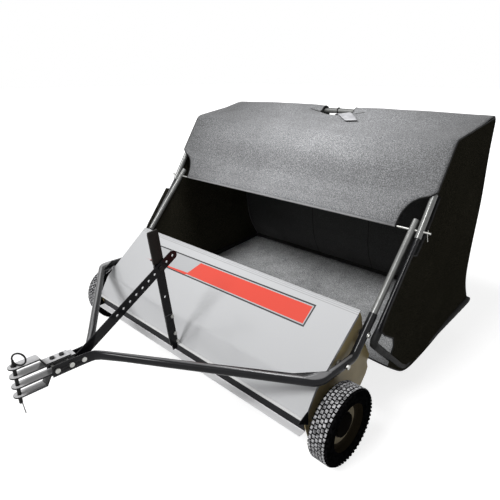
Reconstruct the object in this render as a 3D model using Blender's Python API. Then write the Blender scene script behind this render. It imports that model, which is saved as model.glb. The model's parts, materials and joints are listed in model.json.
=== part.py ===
import math

import bmesh
import bpy
from mathutils import Vector
from mathutils.geometry import tessellate_polygon

# Tow-behind lawn sweeper. Metres, +Z up, ground at z = 0. The hitch points along -Y, the hamper hangs at +Y.
# Sizes are written from the wheel axle, and the whole model is moved along Y at the end.
AXLE_TO_MIDDLE = -0.1761
FIT = 0.0003
STEPS = 14

# Housing
HOOD_HALF = 0.660
SHEET = 0.0015
HOOD_FLANGE = 0.012
HOOD_REAR = (0.177, 0.4762)
HOOD_KNEE = (-0.065, 0.273)
HOOD_FRONT = (-0.115, 0.187)
HOOD_KNEE_RADIUS = 0.06
HOOD_RETURN = 0.010
PLATE = 0.0025
PLATE_EDGE = ((-0.108, 0.150), (-0.090, 0.100), (-0.045, 0.072), (0.050, 0.060), (0.150, 0.080),
              (0.205, 0.112), (0.233, 0.137), (0.262, 0.172), (0.272, 0.196), (0.262, 0.226), (0.275, 0.250),
              (0.227, 0.329), (0.197, 0.422), (0.191, 0.445))
CHANNEL_SHEET = 0.002
CHANNEL_DEPTH = 0.060
CHANNEL_WEB_Y = -0.103
CHANNEL_LIP = 0.012
CHANNEL_SHELF = 0.032
GUSSET = 0.0025
GUSSET_AHEAD = 0.026
GUSSET_UP = (0.012, 0.025)
GUSSET_DOWN = (0.020, -0.033)
TIE_ROD = (0.252, 0.190)
TIE_ROD_RADIUS = 0.008

# Wheels, brush and gears
WHEEL_RADIUS = 0.141
WHEEL_GAP = 0.026
WHEEL_WIDTH = 0.081
RIM_WALL = 0.0033
RIM_HUB_RADIUS = 0.019
DISH_DEPTH = 0.024
TYRE_LIP_RADIUS = 0.0875
GROOVE_DEPTH = 0.003
GROOVE_WIDTH = 0.0022
HUB_CAP_RADIUS = 0.043
AXLE_RADIUS = 0.008
RING_TEETH = 65
PINION_TEETH = 13
MODULE = 0.0027
PRESSURE = math.radians(20)
BACKLASH = 0.0004
GEAR_WIDTH = 0.022
BRUSH_ANGLE = math.radians(16.6)
SHAFT_RADIUS = 0.008
CORE_RADIUS = 0.021
CORE_END_GAP = 0.0307
BRISTLE_INSET = 0.003
BRUSH_RADIUS = 0.145
BRISTLE_ROWS = 6
BRISTLE_THICK = 0.014

# Tow frame
TOW_TUBE = 0.0159
SUPPORT_TUBE = 0.0127
SUPPORT_WALL = 0.0015
ARM_GAP = 0.022
TUBE_Z = 0.322
TOW_FRONT_Y = -0.648
TOW_SPREAD_Y = -0.481
TOW_SPREAD_X = 0.042
TOW_BEND_Y = -0.079
TOW_BEND_RADIUS = 0.055
FLAT_HALF_HEIGHT = 0.0215
FLAT_HALF_THICK = 0.0034
FLAT_BLEND = (0.0095, 0.0195)
SLEEVE_Y = -0.020
SLEEVE_DEPTH = 0.050
PIVOT = (0.058, 0.322)
ARM_BEND = (0.118, 0.322)
ARM_BEND_RADIUS = 0.05
ARM_RISE = 0.170
ROD = (0.450, 0.710)
ROD_RADIUS = 0.004
ROD_PAST_TUBE = 0.038
SUPPORT_PAST_ROD = 0.040
BOLT_RADIUS = 0.005
BOLT_HEAD = 0.009

# Hitch
TONGUE_HALF = 0.019
TONGUE_THICK = 0.005
TONGUE_NOSE_Y = -0.752
TONGUE_TOPS = (0.386, 0.353, 0.316, 0.281)
TOP_STEP_Y = (-0.680, -0.664)
BOTTOM_STEP_Y = (-0.668, -0.652)
TOP_REAR_Y = -0.578
BAR_REAR_Y = -0.562
PIN_RADIUS = 0.006
PIN_RING = 0.0215
PIN_WIRE = 0.0029
PIN_END_Z = 0.247
PIN_CLIP_TAIL = 0.034
CROSS_BOLT_Y = (-0.633, -0.584)
STRAP_BOLT_Y = -0.540
CLAMP_BOLT_Y = (-0.634, -0.602)

# Height lever
BAR_HALF = 0.019
STRAP_THICK = 0.005
MAST_THICK = 0.006
MAST_GAP = 0.004
LOCK = (-0.1845, 0.548)
MAST_LEAN = math.radians(7.2)
MAST_TOP = 0.148
MAST_BOTTOM = -0.361
GRIP_LENGTH = 0.132
GRIP_THICK = 0.003
HOLE_PITCH = 0.0338
HOLES_BELOW = 7
HOLES_ABOVE = 2
STRAP_PAST_LOCK = 0.088
BRACKET_TOP = ((-0.1423, 0.333), (-0.1760, 0.333))
BRACKET_THICK = 0.003
KNOB_RADIUS = 0.015
HOLE_RADIUS = 0.0055

# Hamper
HAMPER_GAP = 0.032
LOWER_TUBE = 0.0095
MID_TOP = (0.6394, 1.0024)
REAR_TOP = (0.969, 1.057)
V_CORNER = (0.186, 0.368)
FRONT_BOTTOM = (0.452, 0.137)
REAR_BOTTOM = (1.100, 0.2045)
HAMPER_BEND = 0.045
V_BEND = 0.040
CLIP_CORNERS = ((0, 0.011), (0, -0.013), (0.008, -0.034))
FABRIC = 0.003
HEM = (0.307, 0.222)
PANEL_STEPS = ((0.545, 0.822), (0.471, 0.703), (0.412, 0.632), (0.378, 0.642), (0.295, 0.532),
               (0.245, 0.467), (0.207, 0.408), (0.238, 0.380), (0.311, 0.338), (0.326, 0.302), (0.314, 0.255))
BACK_STEPS = ((1.021, 0.330), (0.997, 0.549), (0.960, 0.931))
FLAP_STEPS = ((0.145, 0.0), (0.133, 0.0161), (0.120, 0.0531), (0.095, 0.0831), (0.055, 0.1041),
              (0.018, 0.1091))
FLAP_ROLL = 0.0066
TOP_SAGS = ((0.40, 0.016), (0.72, 0.030), (0.90, 0.046), (1.0, 0.055))
FLAP_SAGS = ((0.18, 0.046), (0.45, 0.030))
EDGE_SAGS = (0.018, 0.015, 0.012, 0.007, 0.002, 0.0)
SAG_START = 0.0365
SAG_DEEP = 0.277
HANDLE = (-0.17, 0.05)
HANDLE_AHEAD = 0.050
HANDLE_BELOW = 0.050

PLATE_OUT = HOOD_HALF - SHEET - FIT
PLATE_IN = PLATE_OUT - PLATE
AXLE = (0.0, WHEEL_RADIUS)
WHEEL_IN = HOOD_HALF + WHEEL_GAP
CORE_HALF = PLATE_IN - CORE_END_GAP
BRISTLE_HALF = CORE_HALF - BRISTLE_INSET
ARM_X = HOOD_HALF + ARM_GAP
HAMPER_X = ARM_X + HAMPER_GAP
ROD_HALF = HAMPER_X + ROD_PAST_TUBE
CENTRES = MODULE * (RING_TEETH - PINION_TEETH) / 2
BRUSH = (AXLE[0] + CENTRES * math.cos(BRUSH_ANGLE), AXLE[1] + CENTRES * math.sin(BRUSH_ANGLE))
HITCH_BOLT_Z = (TONGUE_TOPS[1] + TONGUE_TOPS[2] - TONGUE_THICK) / 2 - 0.008
STRAP_PIVOT = (STRAP_BOLT_Y, HITCH_BOLT_Z)
SIDES = (("left", 1), ("right", -1))

for old in list(bpy.data.objects):
    bpy.data.objects.remove(old, do_unlink=True)

materials = {}
bodies = {}


def finish(name, colour, metallic, roughness):
    made = bpy.data.materials.new(name)
    made.use_nodes = True
    shader = made.node_tree.nodes["Principled BSDF"]
    shader.inputs["Base Color"].default_value = (*colour, 1)
    shader.inputs["Metallic"].default_value = metallic
    shader.inputs["Roughness"].default_value = roughness
    materials[name] = made


def body(name, y, z, x=0.0):
    """A frame on the joint axis that carries every piece of one rigid body."""
    made = bpy.data.objects.new("axis_" + name, None)
    made.location = (x, y + AXLE_TO_MIDDLE, z)
    bpy.context.collection.objects.link(made)
    bodies[name] = (made, Vector((x, y, z)))


def add(name, points, faces, material, carrier):
    """A closed piece from points given from the axle, carried by its body."""
    parent, pivot = bodies[carrier]
    mesh = bpy.data.meshes.new(name)
    mesh.from_pydata([Vector(p) - pivot for p in points], [], faces)
    work = bmesh.new()
    work.from_mesh(mesh)
    bmesh.ops.remove_doubles(work, verts=work.verts, dist=1e-7)
    bmesh.ops.recalc_face_normals(work, faces=work.faces)
    work.to_mesh(mesh)
    work.free()
    made = bpy.data.objects.new(name, mesh)
    made.parent = parent
    bpy.context.collection.objects.link(made)
    if material:
        mesh.materials.append(materials[material])
    return made


def combine(piece, other, operation):
    """Cuts the second shape from the first, or joins it on."""
    other.hide_render = True
    other.display_type = "WIRE"
    step = piece.modifiers.new(operation.lower(), "BOOLEAN")
    step.operation = operation
    step.solver = "EXACT"
    step.object = other


def circle(centre, radius, steps=STEPS):
    turns = [2 * math.pi * i / steps for i in range(steps)]
    return [(centre[0] + radius * math.cos(t), centre[1] + radius * math.sin(t)) for t in turns]


def plate(name, outline, holes, low, high, material, carrier, flat="x"):
    """A plate of even thickness: an outline with holes, in (y, z) if flat is x, or in (x, y) if flat is z."""
    loops = [list(outline)] + [list(hole) for hole in holes]
    triangles = tessellate_polygon([[Vector((a, b, 0)) for a, b in loop] for loop in loops])
    plane = [point for loop in loops for point in loop]
    place = (lambda a, b, c: (c, a, b)) if flat == "x" else (lambda a, b, c: (a, b, c))
    points = [place(a, b, low) for a, b in plane] + [place(a, b, high) for a, b in plane]
    count = len(plane)
    faces = [tuple(t) for t in triangles] + [tuple(count + i for i in t) for t in triangles]
    start = 0
    for loop in loops:
        size = len(loop)
        for i in range(size):
            a, b = start + i, start + (i + 1) % size
            faces.append((a, b, count + b, count + a))
        start += size
    return add(name, points, faces, material, carrier)


def skin(rings, closed=False):
    """Points and faces of a run of rings. A ring of one point is a tip. Open ends are capped."""
    points, faces, starts = [], [], []
    for ring in rings:
        starts.append(len(points))
        points += ring
    last = len(rings) if closed else len(rings) - 1
    for i in range(last):
        j = (i + 1) % len(rings)
        a, b, na, nb = starts[i], starts[j], len(rings[i]), len(rings[j])
        for k in range(max(na, nb)):
            m = (k + 1) % max(na, nb)
            face = [a + k % na, a + m % na, b + m % nb, b + k % nb]
            faces.append(tuple(dict.fromkeys(face)))
    if not closed:
        for start, ring in ((starts[0], rings[0]), (starts[-1], rings[-1])):
            if len(ring) > 2:
                faces.append(tuple(range(start, start + len(ring))))
    return points, faces


def turned(name, profile, centre, material, carrier, side=1, steps=STEPS, axis="x"):
    """A turned piece from (distance along the axis, radius), closed, or open where it meets the axis."""
    rings = []
    for along, radius in profile:
        loop = circle(centre, radius, steps) if radius > 0 else [tuple(centre)]
        if axis == "x":
            rings.append([(side * along, a, b) for a, b in loop])
        else:
            rings.append([(a, b, along) for a, b in loop])
    closed = profile[0][1] > 0
    return add(name, *skin(rings, closed), material, carrier)


def course(corners, radius, steps=5):
    """Points and directions along a bent line through the corners."""
    corners = [Vector(c) for c in corners]
    out = [(corners[0], (corners[1] - corners[0]).normalized())]
    for before, corner, after in zip(corners, corners[1:], corners[2:]):
        one, two = (corner - before).normalized(), (after - corner).normalized()
        angle = one.angle(two)
        start = corner - one * radius * math.tan(angle / 2)
        across = (two - one * one.dot(two)).normalized()
        for i in range(steps + 1):
            a = angle * i / steps
            spot = start + across * radius * (1 - math.cos(a)) + one * radius * math.sin(a)
            out.append((spot, one * math.cos(a) + across * math.sin(a)))
    out.append((corners[-1], (corners[-1] - corners[-2]).normalized()))
    return out


def tube(name, run, radius, material, carrier, bores=((0, 0), (0, 0)), steps=STEPS, shapes=None):
    """A tube along a run of points and directions. A bore at an end is (radius, depth), and 0 is none."""
    across = run[0][1].orthogonal().normalized()
    if abs(run[0][1].x) < 0.9:
        across = (Vector((1, 0, 0)) - run[0][1] * run[0][1].x).normalized()
    rings = []
    for i, (spot, way) in enumerate(run):
        if i:
            across = run[i - 1][1].rotation_difference(way) @ across
        up = way.cross(across)
        breadth, height = shapes[i] if shapes else (radius, radius)
        loop = circle((0, 0), 1, steps)
        rings.append([tuple(spot + across * breadth * a + up * height * b) for a, b in loop])
        if i in (0, len(run) - 1) and bores[0 if i == 0 else 1][0]:
            inner, depth = bores[0 if i == 0 else 1]
            back = way if i == 0 else -way
            hole = []
            for d in (0, depth):
                hole.append([tuple(spot + back * d + across * inner * a + up * inner * b) for a, b in loop])
            rings = hole[::-1] + rings if i == 0 else rings + hole
    return add(name, *skin(rings), material, carrier)


def hole_through(piece, centre, radius, carrier, x=0.0, reach=0.03, axis="x"):
    """Drills a round hole through a piece."""
    ends = (x - reach, x + reach) if axis == "x" else (centre[1] - reach, centre[1] + reach)
    spot = centre if axis == "x" else (x, centre[0])
    profile = [(ends[0], 0), (ends[0], radius), (ends[1], radius), (ends[1], 0)]
    cutter = turned("drill_" + piece.name, profile, spot, None, carrier, steps=12, axis=axis)
    combine(piece, cutter, "DIFFERENCE")


def bar_outline(start, way, low, high, half, rounded=(True, True)):
    """A flat bar along a direction, from low to high, with round ends where asked."""
    across = (-way[1], way[0])
    out = []
    for end, sign, is_round in ((high, 1, rounded[1]), (low, -1, rounded[0])):
        if is_round:
            spots = [(end - sign * half + sign * half * math.cos(a), sign * half * math.sin(a))
                     for a in [math.radians(t) for t in range(-90, 91, 15)]]
        else:
            spots = [(end, -sign * half), (end, sign * half)]
        out += spots
    return [(start[0] + way[0] * u + across[0] * v, start[1] + way[1] * u + across[1] * v) for u, v in out]


def gear_outline(centre, teeth, outward, inward, slack, phase):
    """Outline of a gear with involute flanks. A negative slack gives the hollow of an inside gear."""
    pitch = teeth * MODULE / 2
    base = pitch * math.cos(PRESSURE)
    half = math.pi / (2 * teeth) - slack / (2 * pitch) + math.tan(PRESSURE) - PRESSURE
    flank = []
    for radius in (pitch - inward, pitch, pitch + outward):
        slope = math.acos(min(1, base / radius))
        flank.append((radius, half - (math.tan(slope) - slope)))
    out = []
    for tooth in range(teeth):
        middle = phase + 2 * math.pi * tooth / teeth
        around = [(r, middle - a) for r, a in flank] + [(r, middle + a) for r, a in flank[::-1]]
        out += [(centre[0] + r * math.cos(t), centre[1] + r * math.sin(t)) for r, t in around]
    return out


def moved_in(line, depth):
    """A (y, z) line moved to its left side, with mitred corners."""
    out = []
    for i, spot in enumerate(line):
        ways = []
        for a, b in ((i - 1, i), (i, i + 1)):
            if a >= 0 and b < len(line):
                ways.append((Vector(line[b]) - Vector(line[a])).normalized())
        sides = [Vector((-w.y, w.x)) for w in ways]
        normal = sum(sides, Vector((0, 0))).normalized()
        out.append(tuple(Vector(spot) + normal * depth / normal.dot(sides[0])))
    return out


finish("hood_paint", (0.62, 0.63, 0.65), 0.1, 0.3)
finish("plate_paint", (0.36, 0.33, 0.30), 0.1, 0.4)
finish("black_paint", (0.02, 0.02, 0.022), 0.2, 0.35)
finish("grey_tube", (0.55, 0.56, 0.58), 0.7, 0.35)
finish("zinc", (0.60, 0.60, 0.58), 1.0, 0.35)
finish("tyre_black", (0.025, 0.025, 0.025), 0.0, 0.75)
finish("rim_plastic", (0.10, 0.085, 0.075), 0.0, 0.5)
finish("cap_plastic", (0.03, 0.03, 0.03), 0.0, 0.5)
finish("grip", (0.045, 0.04, 0.038), 0.0, 0.7)
finish("gear_plastic", (0.05, 0.05, 0.05), 0.0, 0.5)
finish("bristle", (0.05, 0.05, 0.055), 0.0, 0.8)
finish("fabric", (0.03, 0.03, 0.03), 0.0, 0.9)

body("housing", *AXLE)
body("wheel_left", *AXLE, WHEEL_IN)
body("wheel_right", *AXLE, -WHEEL_IN)
body("brush", *BRUSH)
body("tow_frame", *PIVOT)
body("height_strap", *STRAP_PIVOT)
body("height_knob", *LOCK)
body("hitch_pin", TONGUE_NOSE_Y, TONGUE_TOPS[0])
body("hamper", *ROD)

# The hood: one bent sheet whose ends are turned down over the side plates
knee = course([(0, *HOOD_REAR), (0, *HOOD_KNEE), (0, *HOOD_FRONT)], HOOD_KNEE_RADIUS, 6)
hood_line = [(p.y, p.z) for p, way in knee]
slope = knee[0][1]
hem = (HOOD_REAR[0] - slope.z * HOOD_RETURN, HOOD_REAR[1] + slope.y * HOOD_RETURN)
start = [(HOOD_REAR[0] + slope.y * u, HOOD_REAR[1] + slope.z * u) for u in (0.016, 0.018)]
line = [hem, HOOD_REAR] + start + hood_line[1:]
inner = moved_in(line, SHEET)
flange = moved_in(line, HOOD_FLANGE)
lip = moved_in(line, 2 * SHEET)
rings = []
for i, (y, z) in enumerate(line):
    iy, iz = inner[i]
    fy, fz = lip[i] if i < 3 else flange[i]
    side_in = HOOD_HALF - SHEET
    rings.append([(-HOOD_HALF, fy, fz), (-HOOD_HALF, y, z), (HOOD_HALF, y, z), (HOOD_HALF, fy, fz),
                  (side_in, fy, fz), (side_in, iy, iz), (-side_in, iy, iz), (-side_in, fy, fz)])
add("hood", *skin(rings), "hood_paint", "housing")

# Side plates under the hood ends
under = moved_in([HOOD_REAR] + hood_line[1:], SHEET + FIT)
first = Vector(under[0]) + Vector((slope.y, slope.z)) * 0.006
corner = first + Vector((-slope.z, slope.y)) * 0.013
plate_line = [tuple(corner), tuple(first)] + under[1:-1] + [(HOOD_FRONT[0] + 0.005, HOOD_FRONT[1] + 0.004)]
plate_line += list(PLATE_EDGE)
plate_holes = [circle(AXLE, AXLE_RADIUS + FIT), circle(BRUSH, SHAFT_RADIUS + 0.003),
               circle(PIVOT, BOLT_RADIUS + FIT), circle(TIE_ROD, TIE_ROD_RADIUS + FIT)]
channel_top = HOOD_FRONT[1] - 0.0012
channel_low = channel_top - CHANNEL_DEPTH
front = HOOD_FRONT[0] - CHANNEL_LIP
shelf = CHANNEL_WEB_Y - CHANNEL_SHELF
web_in = CHANNEL_WEB_Y - CHANNEL_SHEET
channel = [(front, channel_top), (CHANNEL_WEB_Y, channel_top), (CHANNEL_WEB_Y, channel_low),
           (shelf, channel_low), (shelf, channel_low + CHANNEL_SHEET), (web_in, channel_low + CHANNEL_SHEET),
           (web_in, channel_top - CHANNEL_SHEET), (front, channel_top - CHANNEL_SHEET)]
plate("front_channel", channel, [], FIT - PLATE_IN, PLATE_IN - FIT, "black_paint", "housing")
gusset = [(front - GUSSET_AHEAD, channel_top + 0.004),
          (HOOD_FRONT[0] + GUSSET_UP[0], HOOD_FRONT[1] + GUSSET_UP[1]),
          (HOOD_FRONT[0] + GUSSET_DOWN[0], HOOD_FRONT[1] + GUSSET_DOWN[1])]
for side, s in SIDES:
    ends = sorted((s * PLATE_IN, s * PLATE_OUT))
    plate("side_plate_" + side, plate_line, plate_holes, *ends, "plate_paint", "housing")
    ends = sorted((s * (HOOD_HALF + FIT), s * (HOOD_HALF + FIT + GUSSET)))
    plate("corner_gusset_" + side, gusset, [], *ends, "black_paint", "housing")
outer = PLATE_OUT + FIT
half = [(outer + 0.006, 0), (outer + 0.006, 0.014), (outer, 0.014), (outer, TIE_ROD_RADIUS)]
turned("rear_tie_rod", [(-x, r) for x, r in half] + half[::-1], TIE_ROD, "zinc", "housing")

# Axles, bearings and the brush
rim_out = WHEEL_IN + WHEEL_WIDTH - 0.010
dish = rim_out - DISH_DEPTH
gear_in = WHEEL_IN + 0.006
ring_root = MODULE * RING_TEETH / 2 + 1.2 * MODULE
rim_in = ring_root + 0.0014
rim_radius = rim_in + RIM_WALL
mesh_angle = math.atan2(BRUSH[1] - AXLE[1], BRUSH[0] - AXLE[0])
ring_hollow = gear_outline(AXLE, RING_TEETH, 1.2 * MODULE, 0.75 * MODULE, -BACKLASH, mesh_angle)
pinion_edge = gear_outline(BRUSH, PINION_TEETH, 0.9 * MODULE, 1.2 * MODULE, BACKLASH, mesh_angle)
for side, s in SIDES:
    washer_in = PLATE_IN - 0.006
    stub = [(washer_in, 0), (washer_in, 0.016), (PLATE_IN - FIT, 0.016), (PLATE_IN - FIT, AXLE_RADIUS),
            (outer, AXLE_RADIUS), (outer, 0.018), (outer + 0.006, 0.018), (outer + 0.006, AXLE_RADIUS),
            (dish + 0.003, AXLE_RADIUS), (dish + 0.003, 0.012), (dish + 0.0055, 0.012), (dish + 0.0055, 0)]
    turned("stub_axle_" + side, stub, AXLE, "zinc", "housing", s)
    bearing = [(PLATE_IN - FIT, SHAFT_RADIUS + FIT), (PLATE_IN - FIT, 0.026), (PLATE_IN - 0.004, 0.026),
               (PLATE_IN - 0.006, 0.016), (PLATE_IN - 0.014, 0.016), (PLATE_IN - 0.014, SHAFT_RADIUS + FIT)]
    turned("brush_bearing_" + side, bearing, BRUSH, "cap_plastic", "housing", s)
    near = WHEEL_IN + 0.004
    rim = [(near, AXLE_RADIUS + FIT), (near, RIM_HUB_RADIUS), (dish - 0.005, RIM_HUB_RADIUS),
           (dish - 0.005, rim_in), (near, rim_in), (near, rim_radius), (rim_out, rim_radius),
           (rim_out, rim_in), (dish + 0.002, rim_in - 0.003), (dish, rim_in - 0.008), (dish, 0.057),
           (dish + 0.002, 0.055), (dish + 0.002, AXLE_RADIUS + FIT)]
    wheel = turned("rim_" + side, rim, AXLE, "rim_plastic", "wheel_" + side, s, steps=48)
    ends = sorted((s * gear_in, s * (gear_in + GEAR_WIDTH)))
    outline = circle(AXLE, rim_in + RIM_WALL / 2, 48)
    teeth = plate("ring_teeth_" + side, outline, [ring_hollow], *ends, None, "wheel_" + side)
    combine(wheel, teeth, "UNION")
    bead = rim_radius + FIT
    face = WHEEL_IN + WHEEL_WIDTH
    tyre = [(WHEEL_IN + 0.002, bead), (rim_out + FIT, bead), (rim_out + FIT, TYRE_LIP_RADIUS + 0.001),
            (rim_out + 0.003, TYRE_LIP_RADIUS), (rim_out + 0.007, TYRE_LIP_RADIUS + 0.006), (face, 0.103),
            (face, 0.123), (face - 0.003, 0.134), (face - 0.010, WHEEL_RADIUS)]
    for i in (1, -1):
        mid = WHEEL_IN + WHEEL_WIDTH / 2 + i * 0.013
        floor = WHEEL_RADIUS - GROOVE_DEPTH
        tyre += [(mid + GROOVE_WIDTH / 2, WHEEL_RADIUS), (mid + GROOVE_WIDTH / 2, floor),
                 (mid - GROOVE_WIDTH / 2, floor), (mid - GROOVE_WIDTH / 2, WHEEL_RADIUS)]
    tyre += [(WHEEL_IN + 0.012, WHEEL_RADIUS), (near, 0.134), (WHEEL_IN, 0.120), (WHEEL_IN, 0.102)]
    turned("tyre_" + side, tyre, AXLE, "tyre_black", "wheel_" + side, s, steps=48)
    seat = dish + 0.002 + FIT
    cap = [(dish + 0.009, 0), (dish + 0.009, 0.016), (seat, 0.016), (seat, HUB_CAP_RADIUS),
           (dish + 0.010, HUB_CAP_RADIUS), (dish + 0.013, 0.034), (dish + 0.016, 0.026), (dish + 0.016, 0)]
    turned("hub_cap_" + side, cap, AXLE, "cap_plastic", "wheel_" + side, s, steps=32)
    plate("pinion_" + side, pinion_edge, [circle(BRUSH, SHAFT_RADIUS + FIT)],
          *sorted((s * (gear_in + 0.001), s * (gear_in + GEAR_WIDTH - 0.001))), "gear_plastic", "brush")
shaft_half = gear_in + GEAR_WIDTH + 0.002
shaft = [(-shaft_half, 0), (-shaft_half, SHAFT_RADIUS), (shaft_half, SHAFT_RADIUS), (shaft_half, 0)]
turned("brush_shaft", shaft, BRUSH, "zinc", "brush")
turned("brush_core", [(-CORE_HALF, SHAFT_RADIUS + FIT), (-CORE_HALF, CORE_RADIUS), (CORE_HALF, CORE_RADIUS),
                      (CORE_HALF, SHAFT_RADIUS + FIT)], BRUSH, "cap_plastic", "brush", steps=24)
for row in range(BRISTLE_ROWS):
    angle = 2 * math.pi * row / BRISTLE_ROWS + math.radians(10)
    way = (math.cos(angle), math.sin(angle))
    outline = bar_outline(BRUSH, way, CORE_RADIUS + FIT, BRUSH_RADIUS, BRISTLE_THICK / 2, (False, False))
    plate(f"bristle_row_{row + 1}", outline, [], -BRISTLE_HALF, BRISTLE_HALF, "bristle", "brush")

# Tow frame: tubes spread from the hitch to the arms, and the arms carry the support tubes of the hamper
rise = math.atan2(ROD[1] - ARM_BEND[1], ROD[0] - ARM_BEND[0])
arm_way = Vector((0, math.cos(rise), math.sin(rise)))
rod_far = math.hypot(ROD[0] - ARM_BEND[0], ROD[1] - ARM_BEND[1])
flat_x = TONGUE_HALF + FIT + FLAT_HALF_THICK
spigot = TOW_TUBE - 0.0019
for side, s in SIDES:
    bends = [(s * TOW_SPREAD_X, TOW_SPREAD_Y), (s * ARM_X, TOW_BEND_Y), (s * ARM_X, SLEEVE_Y - FIT)]
    run = course([(x, y, TUBE_Z) for x, y in bends], TOW_BEND_RADIUS, 6)
    straight = Vector((0, 1, 0))
    lead = [(Vector((s * flat_x, y, TUBE_Z)), straight) for y in (TOW_FRONT_Y, STRAP_BOLT_Y + 0.020)]
    between = (lead[1][0] + run[0][0]) / 2 - Vector((s * 0.004, 0, 0))
    lead.append((between, (straight + run[0][1]).normalized()))
    plug = (SLEEVE_Y - FIT, SLEEVE_Y + SLEEVE_DEPTH - 0.002)
    ends = [(Vector((s * ARM_X, y, TUBE_Z)), straight) for y in plug]
    shapes = [(FLAT_HALF_THICK, FLAT_HALF_HEIGHT)] * 2 + [FLAT_BLEND] + [(TOW_TUBE, TOW_TUBE)] * len(run)
    shapes += [(spigot, spigot)] * 2
    tow = tube("tow_tube_" + side, lead + run + ends, TOW_TUBE, "black_paint", "tow_frame", shapes=shapes)
    for y in (*CROSS_BOLT_Y, STRAP_BOLT_Y):
        hole_through(tow, (y, HITCH_BOLT_Z), BOLT_RADIUS + FIT, "tow_frame", s * flat_x, 0.012)
    top = Vector((s * ARM_X, *ARM_BEND)) + arm_way * ARM_RISE
    run = course([(s * ARM_X, SLEEVE_Y, TUBE_Z), (s * ARM_X, *ARM_BEND), top], ARM_BEND_RADIUS, 6)
    bores = ((spigot + FIT, SLEEVE_DEPTH), (SUPPORT_TUBE + FIT, 0.115))
    arm = tube("arm_tube_" + side, run, TOW_TUBE, "black_paint", "tow_frame", bores)
    hole_through(arm, PIVOT, BOLT_RADIUS + FIT, "tow_frame", s * ARM_X)
    foot = Vector((s * ARM_X, *ARM_BEND)) + arm_way * (ARM_RISE - 0.110)
    head = Vector((s * ARM_X, *ARM_BEND)) + arm_way * (rod_far + SUPPORT_PAST_ROD)
    run = [(foot, arm_way), (head, arm_way)]
    support = tube("support_tube_" + side, run, SUPPORT_TUBE, "grey_tube", "tow_frame",
                   ((0, 0), (SUPPORT_TUBE - SUPPORT_WALL, 0.085)))
    hole_through(support, ROD, ROD_RADIUS + FIT, "tow_frame", s * ARM_X)
    inside, outside = ARM_X - TOW_TUBE - FIT, ARM_X + TOW_TUBE + FIT
    head_in = PLATE_IN - 0.006
    bolt = [(head_in, 0), (head_in, BOLT_HEAD), (PLATE_IN - FIT, BOLT_HEAD), (PLATE_IN - FIT, BOLT_RADIUS),
            (outer, BOLT_RADIUS), (outer, 0.011), (inside, 0.011), (inside, BOLT_RADIUS),
            (outside, BOLT_RADIUS), (outside, BOLT_HEAD), (outside + 0.006, BOLT_HEAD), (outside + 0.006, 0)]
    turned("pivot_bolt_" + side, bolt, PIVOT, "zinc", "housing", s)


def tongue(name, bottoms, steps, rear):
    """A flat hitch bar with a round nose over the pin, and a step where it has two levels."""
    nose = [(TONGUE_NOSE_Y - TONGUE_HALF * math.cos(math.radians(a)), TONGUE_HALF * math.sin(math.radians(a)))
            for a in (12, 30, 50, 70, 90)]
    run = [(y, bottoms[0], half) for y, half in nose]
    if steps:
        run += [(steps[0], bottoms[0], TONGUE_HALF), (steps[1], bottoms[1], TONGUE_HALF)]
    run.append((rear, bottoms[-1], TONGUE_HALF))
    low = [(y, z) for y, z, half in run]
    high = moved_in(low, TONGUE_THICK)
    rings = []
    for (y, z), (ty, tz), (_, _, half) in zip(low, high, run):
        rings.append([(-half, y, z), (half, y, z), (half, ty, tz), (-half, ty, tz)])
    made = add(name, *skin(rings), "black_paint", "tow_frame")
    hole_through(made, (TONGUE_NOSE_Y, bottoms[0]), PIN_RADIUS + FIT, "tow_frame", axis="z", reach=0.02)
    return made


tops = TONGUE_TOPS
top_rest = tops[1] + FIT
low_rest = tops[2] - TONGUE_THICK - FIT
top_plate = tongue("hitch_top_plate", (tops[0] - TONGUE_THICK, top_rest), TOP_STEP_Y, TOP_REAR_Y)
upper_bar = tongue("hitch_upper_bar", (tops[1] - TONGUE_THICK,), (), BAR_REAR_Y)
tongue("hitch_lower_bar", (tops[2] - TONGUE_THICK,), (), BAR_REAR_Y)
tongue("hitch_bottom_plate", (tops[3] - TONGUE_THICK, low_rest - TONGUE_THICK), BOTTOM_STEP_Y, BAR_REAR_Y)
for i, y in enumerate(CLAMP_BOLT_Y):
    for piece in (top_plate, upper_bar):
        hole_through(piece, (y, tops[1]), BOLT_RADIUS + FIT, "tow_frame", axis="z", reach=0.02)
    ends = tops[1] - TONGUE_THICK - FIT, top_rest + TONGUE_THICK + FIT
    clamp = [(ends[0] - 0.005, 0), (ends[0] - 0.005, 0.0075), (ends[0], 0.0075), (ends[0], BOLT_RADIUS),
             (ends[1], BOLT_RADIUS), (ends[1], 0.008), (ends[1] + 0.005, 0.008), (ends[1] + 0.005, 0)]
    turned(f"hitch_clamp_bolt_{i + 1}", clamp, (0, y), "zinc", "tow_frame", axis="z", steps=12)
cross = flat_x + FLAT_HALF_THICK + FIT
for i, y in enumerate((*CROSS_BOLT_Y, STRAP_BOLT_Y)):
    half = [(cross + 0.006, 0), (cross + 0.006, BOLT_HEAD), (cross, BOLT_HEAD), (cross, BOLT_RADIUS)]
    name = "strap_pivot_bolt" if y == STRAP_BOLT_Y else f"hitch_cross_bolt_{i + 1}"
    turned(name, [(-x, r) for x, r in half] + half[::-1], (y, HITCH_BOLT_Z), "zinc", "tow_frame", steps=12)

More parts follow.
